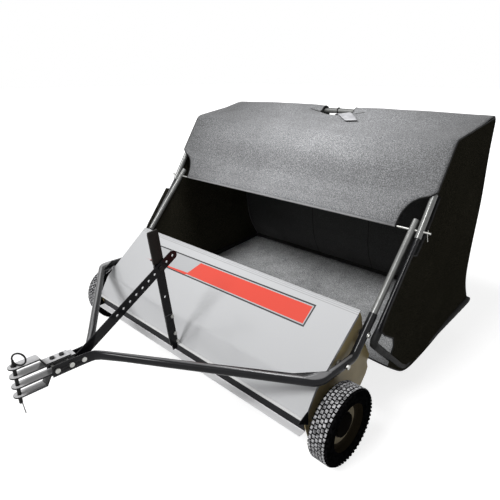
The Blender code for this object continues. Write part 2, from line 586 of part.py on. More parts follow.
# The hitch pin with its ring handle and its clip
ring_z = tops[0] + FIT + PIN_RING + PIN_WIRE + 0.001
collar = tops[0] + FIT
shaft = [(PIN_END_Z, 0), (PIN_END_Z, PIN_RADIUS - 0.001), (PIN_END_Z + 0.002, PIN_RADIUS),
         (collar, PIN_RADIUS), (collar, 0.009), (collar + 0.004, 0.009), (collar + 0.006, PIN_RADIUS - 0.001),
         (ring_z - 0.006, PIN_RADIUS - 0.002), (ring_z, 0.002), (ring_z, 0)]
pin = turned("hitch_pin", shaft, (0, TONGUE_NOSE_Y), "zinc", "hitch_pin", axis="z")
turn = Vector((math.sin(math.radians(45)), math.cos(math.radians(45)), 0))
hub = Vector((0, TONGUE_NOSE_Y, ring_z)) + turn * (PIN_RING - 0.001)
rings = []
for i in range(24):
    a = 2 * math.pi * i / 24
    out = turn * math.cos(a) + Vector((0, 0, 1)) * math.sin(a)
    aside = Vector((turn.y, -turn.x, 0))
    loop = circle((0, 0), PIN_WIRE, 8)
    rings.append([tuple(hub + out * (PIN_RING + u) + aside * v) for u, v in loop])
combine(pin, add("pin_ring", *skin(rings, True), None, "hitch_pin"), "UNION")
clip_z = PIN_END_Z + 0.008
hole_through(pin, (TONGUE_NOSE_Y, clip_z), 0.0019, "hitch_pin", reach=0.01)
clip = course([(-0.011, TONGUE_NOSE_Y, clip_z), (0.013, TONGUE_NOSE_Y, clip_z),
               (0.014, TONGUE_NOSE_Y + 0.004, PIN_END_Z - PIN_CLIP_TAIL)], 0.004, 4)
tube("hitch_pin_clip", clip, 0.0015, "zinc", "hitch_pin", steps=8)

# Height lever: the strap swings from the hitch and is held to the mast through one of its holes
reach = Vector(LOCK) - Vector(STRAP_PIVOT)
length, strap_way = reach.length, reach.normalized()
spots = [0.0] + [length + HOLE_PITCH * k for k in range(-HOLES_BELOW, HOLES_ABOVE + 1)]
holes = [circle(Vector(STRAP_PIVOT) + strap_way * d, HOLE_RADIUS, 12) for d in spots]
outline = bar_outline(STRAP_PIVOT, strap_way, -BAR_HALF, length + STRAP_PAST_LOCK, BAR_HALF)
plate("height_strap", outline, holes, -STRAP_THICK / 2, STRAP_THICK / 2, "black_paint", "height_strap")
face = STRAP_THICK / 2 + FIT
lock = [(-face - 0.0017, 0), (-face - 0.0017, BOLT_RADIUS), (face, BOLT_RADIUS), (face, BOLT_HEAD),
        (face + 0.006, BOLT_HEAD), (face + 0.006, 0)]
turned("strap_lock_bolt", lock, LOCK, "zinc", "height_strap", steps=12)
mast_face = -STRAP_THICK / 2 - MAST_GAP
mast_back = mast_face - MAST_THICK
lean = (-math.sin(MAST_LEAN), math.cos(MAST_LEAN))
outline = bar_outline(LOCK, lean, MAST_BOTTOM, MAST_TOP, BAR_HALF, (False, True))
spare = (LOCK[0] + lean[0] * -0.132, LOCK[1] + lean[1] * -0.132)
holes = [circle(LOCK, BOLT_RADIUS + FIT, 12), circle(spare, HOLE_RADIUS, 12)]
plate("lever_mast", outline, holes, mast_back, mast_face, "black_paint", "housing")
bracket_low = channel_low + CHANNEL_SHEET + 0.001
bracket_step = channel_top + 0.0022
bracket = [(shelf - 0.0155, bracket_low), (front - 0.0008, bracket_low), (front - 0.0008, bracket_step),
           (front + 0.0030, bracket_step), *BRACKET_TOP]
plate("mast_bracket", bracket, [], mast_face + FIT, mast_face + FIT + BRACKET_THICK, "black_paint", "housing")
rings = []
middle = (mast_face + mast_back) / 2
thick = MAST_THICK / 2
grip_low = MAST_TOP + 0.004 - GRIP_LENGTH
grip_steps = ((MAST_TOP + 0.001, FIT), (grip_low, FIT), (grip_low, GRIP_THICK),
              (MAST_TOP - 0.006, GRIP_THICK), (MAST_TOP + 0.004, GRIP_THICK - 0.002))
for along, gap in grip_steps:
    loop = []
    for u, v in ((-1, -0.8), (-0.7, -1), (0.7, -1), (1, -0.8), (1, 0.8), (0.7, 1), (-0.7, 1), (-1, 0.8)):
        if gap == FIT:
            u = math.copysign(1, u)
        across = v * (BAR_HALF + gap + (0.001 if gap > FIT else 0))
        loop.append((middle + u * (thick + gap), LOCK[0] + lean[0] * along + lean[1] * across,
                     LOCK[1] + lean[1] * along - lean[0] * across))
    rings.append(loop)
add("lever_grip", *skin(rings), "grip", "housing")
knob = [(mast_face - FIT, 0), (mast_face - FIT, BOLT_RADIUS), (mast_back - FIT, BOLT_RADIUS),
        (mast_back - FIT, 0.010), (mast_back - 0.004, KNOB_RADIUS), (mast_back - 0.018, KNOB_RADIUS),
        (mast_back - 0.021, 0.011), (mast_back - 0.021, 0)]
turned("height_knob", knob, LOCK, "cap_plastic", "height_knob")

# Hamper frame: thick upper tubes meet narrower lower tubes just below the rod that carries the hamper
steep = (Vector(MID_TOP) - Vector(ROD)).normalized()
below = [Vector(ROD) - steep * d for d in (0.028, 0.009, 0.040)]
for side, s in SIDES:
    upper = [(s * HAMPER_X, *spot) for spot in (below[0], MID_TOP, REAR_TOP)] + [(s * FIT / 2, *REAR_TOP)]
    made = tube("hamper_upper_" + side, course(upper, HAMPER_BEND), SUPPORT_TUBE, "grey_tube", "hamper",
                ((LOWER_TUBE + 2 * FIT, 0.022), (0, 0)))
    hole_through(made, ROD, ROD_RADIUS + FIT, "hamper", s * HAMPER_X)
    lower = [(s * HAMPER_X, *spot) for spot in (below[1], below[2], V_CORNER, FRONT_BOTTOM, REAR_BOTTOM)]
    lower.append((s * FIT / 2, *REAR_BOTTOM))
    tube("hamper_lower_" + side, course(lower, V_BEND), LOWER_TUBE, "grey_tube", "hamper", steps=12)
rod = turned("hamper_rod", [(-ROD_HALF, 0), (-ROD_HALF, ROD_RADIUS), (ROD_HALF, ROD_RADIUS), (ROD_HALF, 0)],
             ROD, "zinc", "hamper", steps=12)
for side, s in SIDES:
    x = s * (ROD_HALF - 0.010)
    hole_through(rod, ROD, 0.0016, "hamper", x, 0.01, "z")
    corners = [(x, ROD[0] + y, ROD[1] + z) for y, z in CLIP_CORNERS]
    clip = course(corners, 0.005, 3)
    tube("hamper_clip_" + side, clip, 0.0012, "zinc", "hamper", steps=8)

# Hamper bag: a fabric strip runs over the floor, back, top and flap, and two panels close the sides
off_low = LOWER_TUBE + 3 * FIT + FABRIC / 2
off_high = SUPPORT_TUBE + 3 * FIT + FABRIC / 2
bag_half = HAMPER_X + off_high
bottom = moved_in([V_CORNER, FRONT_BOTTOM, REAR_BOTTOM, BACK_STEPS[0]], -off_low)
upper = [Vector(p) for p in moved_in([BACK_STEPS[-1], REAR_TOP, MID_TOP, ROD], -off_high)]
back_high, top_corner, mid_top = upper[:3]
top_way = (mid_top - top_corner).normalized()
handle_back = top_corner + (back_high - top_corner).normalized() * HANDLE_BELOW
handle_top = top_corner + top_way * HANDLE_AHEAD
outward = Vector((-steep.y, steep.x))
flap = []
for d, inset in FLAP_STEPS:
    off = FLAP_ROLL + (off_high - FLAP_ROLL) * d / FLAP_STEPS[0][0]
    flap.append((Vector(ROD) + steep * d + outward * off, bag_half - inset))
flap_top = flap[0][0]

# Each row is a point of the strip, its half width, and how far its middle hangs in
strip = [(HEM, bag_half, 0), (bottom[1], bag_half, 0), (bottom[2], bag_half, 0)]
strip += [(spot, bag_half, 0) for spot in (bottom[3], *BACK_STEPS[1:-1], back_high)]
strip += [(handle_back, bag_half, 0), (top_corner, bag_half, 0), (handle_top, bag_half, 0)]
for share, sag in TOP_SAGS:
    strip.append((top_corner.lerp(mid_top, share), bag_half, sag))
for share, sag in FLAP_SAGS:
    strip.append((mid_top.lerp(flap_top, share), bag_half, sag))
full = len(strip) + 1
for (spot, half), sag in zip(flap, EDGE_SAGS):
    strip.append((spot, half, sag))
for t in (10, 60, 110, 160):
    a = math.radians(t)
    roll = outward * math.cos(a) - steep * math.sin(a)
    strip.append((Vector(ROD) + roll * FLAP_ROLL, flap[-1][1], 0))
edge, deep = 1 - SAG_START / bag_half, 1 - SAG_DEEP / bag_half
columns = [(-1, 0), (-edge, 0), (-deep, 0.85), (HANDLE[0] / bag_half, 1), (HANDLE[1] / bag_half, 1),
           (deep, 0.85), (edge, 0), (1, 0)]
points, faces = [], []
for row, (spot, half, sag) in enumerate(strip):
    if sag:
        before, after = Vector(strip[row - 1][0]), Vector(strip[row + 1][0])
        way = (after - before).normalized()
        inward = Vector((-way.y, way.x))
    for across, share in columns:
        y, z = Vector(spot) + inward * sag * share if sag else spot
        points.append((across * half, y, z))
wide = len(columns)
open_rows = range(6, 8)
for row in range(len(strip) - 1):
    for column in range(wide - 1):
        if not (column == 3 and row in open_rows):
            a = wide * row + column
            faces.append((a, a + 1, a + wide + 1, a + wide))
for s, column in ((-1, 0), (1, wide - 1)):
    around = [wide * row + column for row in range(full)]
    for y, z in PANEL_STEPS:
        around.append(len(points))
        points.append((s * bag_half, y, z))
    flat = [Vector((points[i][1], points[i][2], 0)) for i in around]
    faces += [tuple(around[i] for i in t) for t in tessellate_polygon([flat])]
bag = add("hamper_bag", points, faces, "fabric", "hamper")
solid = bag.modifiers.new("fabric", "SOLIDIFY")
solid.thickness = FABRIC
solid.offset = 0
solid.use_even_offset = True
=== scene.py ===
import json
from math import atan2, cos, exp, pi, radians, sin

import bmesh
import bpy
from mathutils import Matrix, Vector, noise


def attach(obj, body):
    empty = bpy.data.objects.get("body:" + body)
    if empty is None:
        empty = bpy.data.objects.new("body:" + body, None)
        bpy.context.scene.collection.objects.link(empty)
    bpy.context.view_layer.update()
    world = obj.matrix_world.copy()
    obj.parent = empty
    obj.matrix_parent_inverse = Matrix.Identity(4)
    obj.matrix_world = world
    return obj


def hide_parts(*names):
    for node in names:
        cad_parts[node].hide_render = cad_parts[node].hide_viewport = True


# Tow-behind lawn sweeper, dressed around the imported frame. Metres, +Z up, the hitch points to -Y.
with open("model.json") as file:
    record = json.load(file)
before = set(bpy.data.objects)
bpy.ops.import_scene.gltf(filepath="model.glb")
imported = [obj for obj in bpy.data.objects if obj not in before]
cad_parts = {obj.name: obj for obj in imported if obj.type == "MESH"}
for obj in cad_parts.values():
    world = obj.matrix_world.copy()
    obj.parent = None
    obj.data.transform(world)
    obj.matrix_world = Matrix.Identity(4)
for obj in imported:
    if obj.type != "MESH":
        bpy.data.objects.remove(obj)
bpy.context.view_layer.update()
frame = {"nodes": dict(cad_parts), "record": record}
nodes = frame["nodes"]
scene = bpy.context.scene
wheelCentre = (0.0, -0.1761, 0.141)  # on the axis that both wheels turn on
brushCentre = (0.0, -0.1088, 0.1611)
print("frame loaded:", len(nodes), "nodes")


# Materials are node trees: helpers first, then the finishes
def newMaterial(name):
    material = bpy.data.materials.new(name)
    material.use_nodes = True
    return material, material.node_tree, material.node_tree.nodes["Principled BSDF"]


def setInputs(tree, node, values):
    for key, value in values.items():
        if isinstance(value, bpy.types.NodeSocket):
            tree.links.new(value, node.inputs[key])
        else:
            node.inputs[key].default_value = value


def addNode(tree, kind, settings=None, **inputs):
    node = tree.nodes.new("ShaderNode" + kind)
    for key, value in (settings or {}).items():
        setattr(node, key, value)
    for key, value in inputs.items():  # i0, i1 and so on are inputs by number
        numbered = key[0] == "i" and key[1:].isdigit()
        setInputs(tree, node, {int(key[1:]) if numbered else key: value})
    return node


def mixColours(tree, factor, first, second, blend="MIX"):
    node = addNode(tree, "Mix", {"data_type": "RGBA", "blend_type": blend},
                   i0=factor, i6=first, i7=second)
    return node.outputs[2]


def calc(tree, operation, first, second=0.0, clamp=False):
    node = addNode(tree, "Math", {"operation": operation, "use_clamp": clamp}, i0=first, i1=second)
    return node.outputs[0]


def times(tree, first, second):
    return calc(tree, "MULTIPLY", first, second)


def plus(tree, first, second, clamp=False):
    return calc(tree, "ADD", first, second, clamp)


def vectorCalc(tree, operation, first, second=(0.0, 0.0, 0.0), output="Value"):
    node = addNode(tree, "VectorMath", {"operation": operation}, i0=first, i1=second)
    return node.outputs[output]


def axisOf(tree, vector, axis):
    return addNode(tree, "SeparateXYZ", Vector=vector).outputs[axis]


def spread(tree, value, low, high, toLow=0.0, toHigh=1.0):
    node = addNode(tree, "MapRange", i0=value, i1=low, i2=high, i3=toLow, i4=toHigh)
    return node.outputs[0]


def stripe(tree, value, low, high, soft=0.0004):
    falling = spread(tree, value, high - soft, high + soft, 1.0, 0.0)
    return times(tree, spread(tree, value, low - soft, low + soft), falling)


def rgba(colour):
    return (*colour, 1.0)


def objectSpace(tree):
    return addNode(tree, "TexCoord").outputs["Object"]


def grain(tree, place, scale, detail=2.0, roughness=0.5):
    node = addNode(tree, "TexNoise",
                   Vector=place, Scale=scale, Detail=detail, Roughness=roughness)
    return node.outputs["Fac"]


def paint(tree, tone, mask, colour, blend="MIX"):
    return mixColours(tree, mask, tone, rgba(colour), blend)


def twoTone(tree, factor, look):
    return mixColours(tree, factor, *map(rgba, look["tones"]))


def bumpFrom(tree, shader, height, depth, strength=1.0):
    node = addNode(tree, "Bump", Strength=strength, Distance=depth, Height=height)
    setInputs(tree, shader, {"Normal": node.outputs[0]})


# How the plain finishes vary, how the dusty one does, and the painted highlight on the upward faces
# of those with a top colour
variation = {
    "patches": (0.35, 0.65), "dullScale": 2.3, "dull": (0.3, 0.7), "ringEdge": 0.0006,
    "flecks": (0.36, 0.62, 0.30, 1.45), "upward": (0.90, 0.985), "topCoat": (0.22, 1.0)}


# A moulded, painted or plated surface: two close tones in patches, fine grain, and dulled patches
def makeSurface(name, look):
    material, tree, shader = newMaterial(name)
    place = objectSpace(tree)
    patch, fine, depth = look["grain"]
    patches = spread(tree, grain(tree, place, patch, 3.0), *variation["patches"])
    tone = twoTone(tree, patches, look)
    if "rings" in look:  # tones by the distance from the wheels' axis
        flat = vectorCalc(tree, "MULTIPLY", place, (0.0, 1.0, 1.0), "Vector")
        away = vectorCalc(tree, "DISTANCE", flat, wheelCentre)
        for low, high, colour in look["rings"]:
            tone = paint(tree, tone, stripe(tree, away, low, high, variation["ringEdge"]), colour)
    if "mottle" in look:  # dust and wear in uneven flecks
        worn = spread(tree, grain(tree, place, look["mottle"], 2.0), *variation["flecks"])
        tone = mixColours(tree, 1.0, tone, worn, "MULTIPLY")
    dull = grain(tree, place, patch * variation["dullScale"], 4.0)
    setInputs(tree, shader, {
        "Base Color": tone, "Roughness": spread(tree, dull, *variation["dull"], *look["rough"]),
        "Metallic": look.get("metal", 0.0), "Specular IOR Level": look.get("specular", 0.5),
        "Coat Weight": look.get("coat", 0.0), "Coat Roughness": look.get("coatRough", 0.1)})
    if "top" in look:  # painted highlight: upward faces take the top colour as painted light, with more coat, and the edges stay black
        upward = axisOf(tree, addNode(tree, "NewGeometry").outputs["Normal"], 2)
        paintedHighlightMask = spread(tree, upward, *variation["upward"])
        setInputs(tree, shader, {
            "Base Color": paint(tree, tone, paintedHighlightMask, look["top"]),
            "Coat Weight": spread(tree, paintedHighlightMask, 0.0, 1.0, *variation["topCoat"])})
    bumpFrom(tree, shader, grain(tree, place, fine, 2.0), depth)
    return material


# Grain is the scale of the patches, the scale of the fine bumps and their depth
finishes = {
    "sideSteel": {
        "tones": ((0.47, 0.375, 0.19), (0.38, 0.30, 0.15)), "grain": (6, 900, 0.00004),
        "rough": (0.30, 0.42), "coat": 0.05, "specular": 0.12},
    # blackEnamel's top colour is a painted highlight along the upper faces of its tubes and bars
    "blackEnamel": {
        "tones": ((0.008, 0.008, 0.009), (0.013, 0.013, 0.015)), "grain": (14, 700, 0.00005),
        "rough": (0.26, 0.32), "coatRough": 0.05, "specular": 0.05, "top": (0.15, 0.15, 0.155)},
    # hitchEnamel's top colour is a painted reflection of the light on the plates' upper faces
    "hitchEnamel": {
        "tones": ((0.006, 0.006, 0.007), (0.010, 0.010, 0.011)), "grain": (14, 700, 0.00005),
        "rough": (0.26, 0.34), "coatRough": 0.08, "specular": 0.08, "top": (0.62, 0.62, 0.63)},
    "greyTube": {
        "tones": ((0.15, 0.152, 0.148), (0.11, 0.112, 0.108)), "grain": (10, 600, 0.00004),
        "rough": (0.28, 0.40), "metal": 0.35, "coat": 0.3},
    "zincPlate": {
        "tones": ((0.50, 0.50, 0.485), (0.38, 0.38, 0.36)), "grain": (60, 1400, 0.00003),
        "rough": (0.25, 0.45), "metal": 1.0},
    "blackBolt": {
        "tones": ((0.010, 0.010, 0.010), (0.025, 0.025, 0.025)), "grain": (90, 1400, 0.00003),
        "rough": (0.25, 0.4), "specular": 0.15},
    "rimPlastic": {
        "tones": ((0.095, 0.078, 0.070), (0.125, 0.100, 0.088)), "grain": (9, 1500, 0.00006),
        "rough": (0.42, 0.55), "specular": 0.02,
        # The pale ring is the dish's own brown, painted lighter as a painted highlight round the
        # hub
        "rings": ((0.0, 0.0450, (0.008, 0.007, 0.006)), (0.0465, 0.0690, (0.34, 0.295, 0.205)),
                  (0.0700, 0.2, (0.030, 0.024, 0.015)))},
    "capPlastic": {
        "tones": ((0.008, 0.007, 0.006), (0.012, 0.011, 0.010)), "grain": (14, 1600, 0.00006),
        "rough": (0.38, 0.5), "specular": 0.0},
    "gearPlastic": {
        "tones": ((0.30, 0.29, 0.26), (0.25, 0.24, 0.22)), "grain": (20, 1500, 0.00004),
        "rough": (0.4, 0.5)},
    "gripRubber": {
        "tones": ((0.014, 0.012, 0.010), (0.020, 0.017, 0.015)), "grain": (18, 1100, 0.00012),
        "rough": (0.45, 0.6), "specular": 0.12},
    "tyreRubber": {
        "tones": ((0.030, 0.030, 0.032), (0.050, 0.050, 0.052)), "grain": (11, 1300, 0.00008),
        "rough": (0.5, 0.68), "specular": 0.0, "mottle": 95.0,
        # The tread ring is painted pale as painted light, and the sidewalls darker than the rubber
        # as painted shade
        "rings": ((0.0, 0.1385, (0.005, 0.005, 0.0055)), (0.1390, 0.2, (0.37, 0.37, 0.38)))},
    "bristleFibre": {
        "tones": ((0.016, 0.016, 0.018), (0.03, 0.03, 0.033)), "grain": (30, 900, 0.0001),
        "rough": (0.55, 0.7)},
    "binding": {
        "tones": ((0.010, 0.010, 0.010), (0.018, 0.018, 0.018)), "grain": (40, 900, 0.0002),
        "rough": (0.6, 0.75), "specular": 0.12},
    "paleTag": {
        "tones": ((0.28, 0.28, 0.29), (0.20, 0.20, 0.21)), "grain": (60, 700, 0.0002),
        "rough": (0.4, 0.6)},
}
surfaces = {name: makeSurface(name, look) for name, look in finishes.items()}


def dress(surface, *names):
    for name in names:
        slots = nodes[name].data.materials
        slots.clear()
        slots.append(surfaces[surface])


def bothSides(*stems):
    return [stem + side for stem in stems for side in ("_left", "_right")]


hitchPlates = ["hitch_top_plate", "hitch_upper_bar", "hitch_lower_bar", "hitch_bottom_plate"]
dress("sideSteel", "rear_tie_rod", *bothSides("side_plate"))
dress("hitchEnamel", *hitchPlates)
dress("blackEnamel", "lever_mast", "mast_bracket", "height_strap",
      *bothSides("corner_gusset", "tow_tube", "arm_tube", "hamper_lower"))
dress("greyTube", *bothSides("support_tube", "hamper_upper"))
dress("zincPlate", "brush_shaft", "hamper_rod", "hitch_cross_bolt_1", "hitch_cross_bolt_2",
      "strap_pivot_bolt", *bothSides("stub_axle", "pivot_bolt", "hamper_clip"))
dress("blackBolt", "hitch_clamp_bolt_1", "hitch_clamp_bolt_2", "hitch_pin", "hitch_pin_clip",
      "strap_lock_bolt")
dress("rimPlastic", *bothSides("rim"))
dress("capPlastic", "brush_core", "height_knob", *bothSides("hub_cap", "brush_bearing"))
dress("gearPlastic", *bothSides("pinion"))
dress("gripRubber", "lever_grip")
dress("tyreRubber", *bothSides("tyre"))
dress("bristleFibre", *[f"bristle_row_{row}" for row in range(1, 7)])
print("frame nodes dressed")


# A piece from a finished bmesh or mesh; edges past the sharp angle, in degrees, stay hard
def addPiece(shape, name, surface, smooth=True, sharp=None):
    if isinstance(shape, bmesh.types.BMesh):
        mesh = bpy.data.meshes.new(name)
        shape.to_mesh(mesh)
        shape.free()
    else:
        mesh = shape
    mesh.materials.clear()
    mesh.materials.append(surfaces[surface])
    for face in mesh.polygons if smooth else ():
        face.use_smooth = True
    if sharp is not None:
        mesh.set_sharp_from_angle(angle=radians(sharp))
    piece = bpy.data.objects.new(name, mesh)
    scene.collection.objects.link(piece)
    return piece


def wholeOf(work):
    return [*work.verts, *work.edges, *work.faces]


def turnAbout(work, verts, angle, axis):
    matrix = Matrix.Rotation(angle, 3, axis)
    bmesh.ops.rotate(work, cent=(0, 0, 0), matrix=matrix, verts=verts)


def move(work, verts, offset):
    bmesh.ops.translate(work, vec=offset, verts=verts)


# Hood: light grey enamel with a plain striped band near its top edge and three grooves at the edge
hoodLook = {
    "tones": ((0.485, 0.49, 0.50), (0.47, 0.475, 0.485)), "rough": (0.27, 0.29),
    "coat": 0.4, "coatRough": 0.12, "waviness": 0.5, "fineGrain": 0.02, "depth": 0.0010,
    "edge": (0.0, 0.0009, 0.4762), "slope": 0.6985,  # the top edge, and the slope down from it
    "band": (0.043, 0.138), "ends": (-0.455, 0.497), "border": 0.0062, "gap": 0.0045,
    "tilt": 0.0165, "field": -0.135, "slant": 0.55, "wedge": -0.42, "wedgeRise": 0.012,
    "silver": (0.40, 0.405, 0.415), "orange": (0.64, 0.042, 0.018), "ink": (0.012, 0.012, 0.014),
    "grooves": ((0.0035, 0.0050), (0.0105, 0.0120), (0.0180, 0.0200)), "grooveShade": 0.45,
    "grooveDepth": -0.6}


# The band: a dark border, a silver plate, an orange field with a slanted end, and a thin wedge
def addHoodBand(tree, look, tone, across, down):
    low, high = look["band"]
    left, right = look["ends"]
    border, slant = look["border"], look["slant"]
    down = plus(tree, down, times(tree, calc(tree, "SUBTRACT", across, right), look["tilt"]))
    slanted = plus(tree, across, times(tree, down, slant))
    start = look["field"] + slant * low
    plate = times(tree, stripe(tree, down, low, high), stripe(tree, across, left, right))
    inner = times(tree, stripe(tree, down, low + border, high - border),
                  stripe(tree, across, left + border, right - border))
    margin = border + look["gap"]
    field = times(tree, stripe(tree, down, low + margin, high - margin),
                  stripe(tree, across, left, right - margin))
    field = times(tree, field, stripe(tree, slanted, start, 2.0))
    foot = high - border
    taper = spread(tree, slanted, look["wedge"], start, foot, foot - look["wedgeRise"])
    below = calc(tree, "GREATER_THAN", down, taper)
    wedge = times(tree, below, stripe(tree, slanted, look["wedge"], start))
    wedge = times(tree, wedge, stripe(tree, down, low, foot))
    for mask, colour in ((plate, "ink"), (inner, "silver"), (field, "orange"), (wedge, "orange")):
        tone = paint(tree, tone, mask, look[colour])
    return tone


def makeHoodEnamel(look):
    material, tree, shader = newMaterial("hoodEnamel")
    place = objectSpace(tree)
    tone = twoTone(tree, spread(tree, grain(tree, place, 3.0, 3.0), 0.2, 0.8), look)
    fromEdge = vectorCalc(tree, "SUBTRACT", place, look["edge"], "Vector")
    way = (0.0, -cos(look["slope"]), -sin(look["slope"]))
    down = vectorCalc(tree, "DOT_PRODUCT", fromEdge, way)
    tone = addHoodBand(tree, look, tone, axisOf(tree, place, 0), down)
    groove = 0.0
    for low, high in look["grooves"]:
        groove = plus(tree, groove, stripe(tree, down, low, high), True)
    tone = paint(tree, tone, times(tree, groove, look["grooveShade"]), look["ink"])
    rough = spread(tree, grain(tree, place, 8.0, 4.0), 0.1, 0.9, *look["rough"])
    setInputs(tree, shader, {"Base Color": tone, "Roughness": rough,
                             "Coat Weight": look["coat"], "Coat Roughness": look["coatRough"]})
    soft = times(tree, grain(tree, place, 5.0, 0.0), look["waviness"])
    fine = times(tree, grain(tree, place, 700.0, 1.0), look["fineGrain"])
    height = plus(tree, plus(tree, soft, fine), times(tree, groove, look["grooveDepth"]))
    bumpFrom(tree, shader, height, look["depth"])
    return material


# Front channel, painted by height: black as painted shade on the web inside it, a bright painted
# highlight along the lip at its top, and a pale strip of painted light on the bottom flange
channelLook = {
    "tones": ((0.008, 0.008, 0.009), (0.013, 0.013, 0.015)), "rough": 0.3, "coat": 0.1,
    "specular": 0.1, "depth": 0.00004,
    "paintedLightStrips": ((0.1720, 0.2, (0.60, 0.60, 0.60)), (0.12, 0.1292, (0.80, 0.80, 0.81)))}


def makeChannelEnamel(look):
    material, tree, shader = newMaterial("channelEnamel")
    place = objectSpace(tree)
    height = axisOf(tree, place, 2)
    tone = twoTone(tree, grain(tree, place, 14.0, 2.0), look)
    # painted light: the lip and the bottom flange are painted pale over the black painted shade
    for low, high, colour in look["paintedLightStrips"]:
        tone = paint(tree, tone, stripe(tree, height, low, high), colour)
    setInputs(tree, shader, {"Base Color": tone, "Roughness": look["rough"],
                             "Coat Weight": look["coat"], "Specular IOR Level": look["specular"]})
    bumpFrom(tree, shader, grain(tree, place, 700.0, 1.0), look["depth"])
    return material


surfaces["hoodEnamel"] = makeHoodEnamel(hoodLook)
surfaces["channelEnamel"] = makeChannelEnamel(channelLook)
dress("hoodEnamel", "hood")
dress("channelEnamel", "front_channel")

# Pale floor, soft light and the camera
studio = {
    "floorGrey": 0.42, "floorSize": 40.0, "glowNear": 0.80, "glowFar": 1.0,
    "glowReach": (1.6, 4.0), "skyLow": 0.05, "skyHigh": 0.50, "keyFrom": (-0.12, -0.69, 0.71),
    "keyStrength": 2.15, "keySoftness": 18.0, "nearAt": (-0.02, 0.20, 1.55),
    "nearTo": (0, 0.46, 0.97), "nearPower": 9.0, "nearSize": 0.5}


def whenSeen(tree):
    path = addNode(tree, "LightPath")
    seen = plus(tree, path.outputs["Is Camera Ray"], path.outputs["Is Glossy Ray"], True)
    return plus(tree, seen, path.outputs["Is Transmission Ray"], True)


def makeFloor():
    material, tree, shader = newMaterial("paleFloor")
    tree.nodes.remove(shader)
    lit = addNode(tree, "BsdfDiffuse", Color=rgba([studio["floorGrey"]] * 3))
    away = vectorCalc(tree, "LENGTH", objectSpace(tree))
    near = spread(tree, away, *studio["glowReach"], studio["glowNear"], studio["glowFar"])
    glow = addNode(tree, "Emission", Strength=times(tree, whenSeen(tree), near))
    both = addNode(tree, "AddShader", i0=lit.outputs[0], i1=glow.outputs[0])
    setInputs(tree, tree.nodes["Material Output"], {"Surface": both.outputs[0]})
    surfaces["paleFloor"] = material
    work = bmesh.new()
    bmesh.ops.create_grid(work, x_segments=1, y_segments=1, size=studio["floorSize"])
    addPiece(work, "floor", "paleFloor", smooth=False)


def makeWorld():
    world = bpy.data.worlds.new("studio")
    world.use_nodes = True
    tree = world.node_tree
    sky = addNode(tree, "TexCoord").outputs["Generated"]
    towards = vectorCalc(tree, "DOT_PRODUCT", sky, Vector(studio["keyFrom"]).normalized())
    level = spread(tree, towards, -0.1, 1.0, studio["skyLow"], studio["skyHigh"])
    soft = addNode(tree, "Background", Color=(1, 1, 1, 1), Strength=level)
    white = addNode(tree, "Background", Color=(1, 1, 1, 1), Strength=1.0)
    both = addNode(tree, "MixShader",
                   i0=whenSeen(tree), i1=soft.outputs[0], i2=white.outputs[0])
    setInputs(tree, tree.nodes["World Output"], {"Surface": both.outputs[0]})
    scene.world = world


def addLamp(name, kind, place, target, strength, size):
    lamp = bpy.data.lights.new(name, kind)
    lamp.energy = strength
    if kind == "SUN":
        lamp.angle = radians(size)
    else:
        lamp.shape, lamp.size = "SQUARE", size
    holder = bpy.data.objects.new(name, lamp)
    holder.location = place
    towards = Vector(target) - Vector(place)
    holder.rotation_euler = towards.to_track_quat("-Z", "Y").to_euler()
    scene.collection.objects.link(holder)


makeFloor()
makeWorld()
addLamp("keyLamp", "SUN", Vector(studio["keyFrom"]) * 4, (0, 0, 0),
        studio["keyStrength"], studio["keySoftness"])
addLamp("nearLamp", "AREA", studio["nearAt"], studio["nearTo"],
        studio["nearPower"], studio["nearSize"])

view = {
    "place": (1.3873, -1.2857, 1.2426), "azimuth": 44.494, "elevation": 20.840, "lens": 33.445,
    "sensor": 36.0}
camera = bpy.data.cameras.new("camera")
camera.lens, camera.sensor_width = view["lens"], view["sensor"]
cameraHolder = bpy.data.objects.new("camera", camera)
across, up = radians(view["azimuth"]), radians(view["elevation"])
backward = Vector((sin(across) * cos(up), -cos(across) * cos(up), sin(up)))
cameraHolder.location = view["place"]
cameraHolder.rotation_euler = backward.to_track_quat("Z", "Y").to_euler()
scene.collection.objects.link(cameraHolder)
scene.camera = cameraHolder
scene.view_settings.view_transform = "Standard"
print("camera, lights and floor placed")

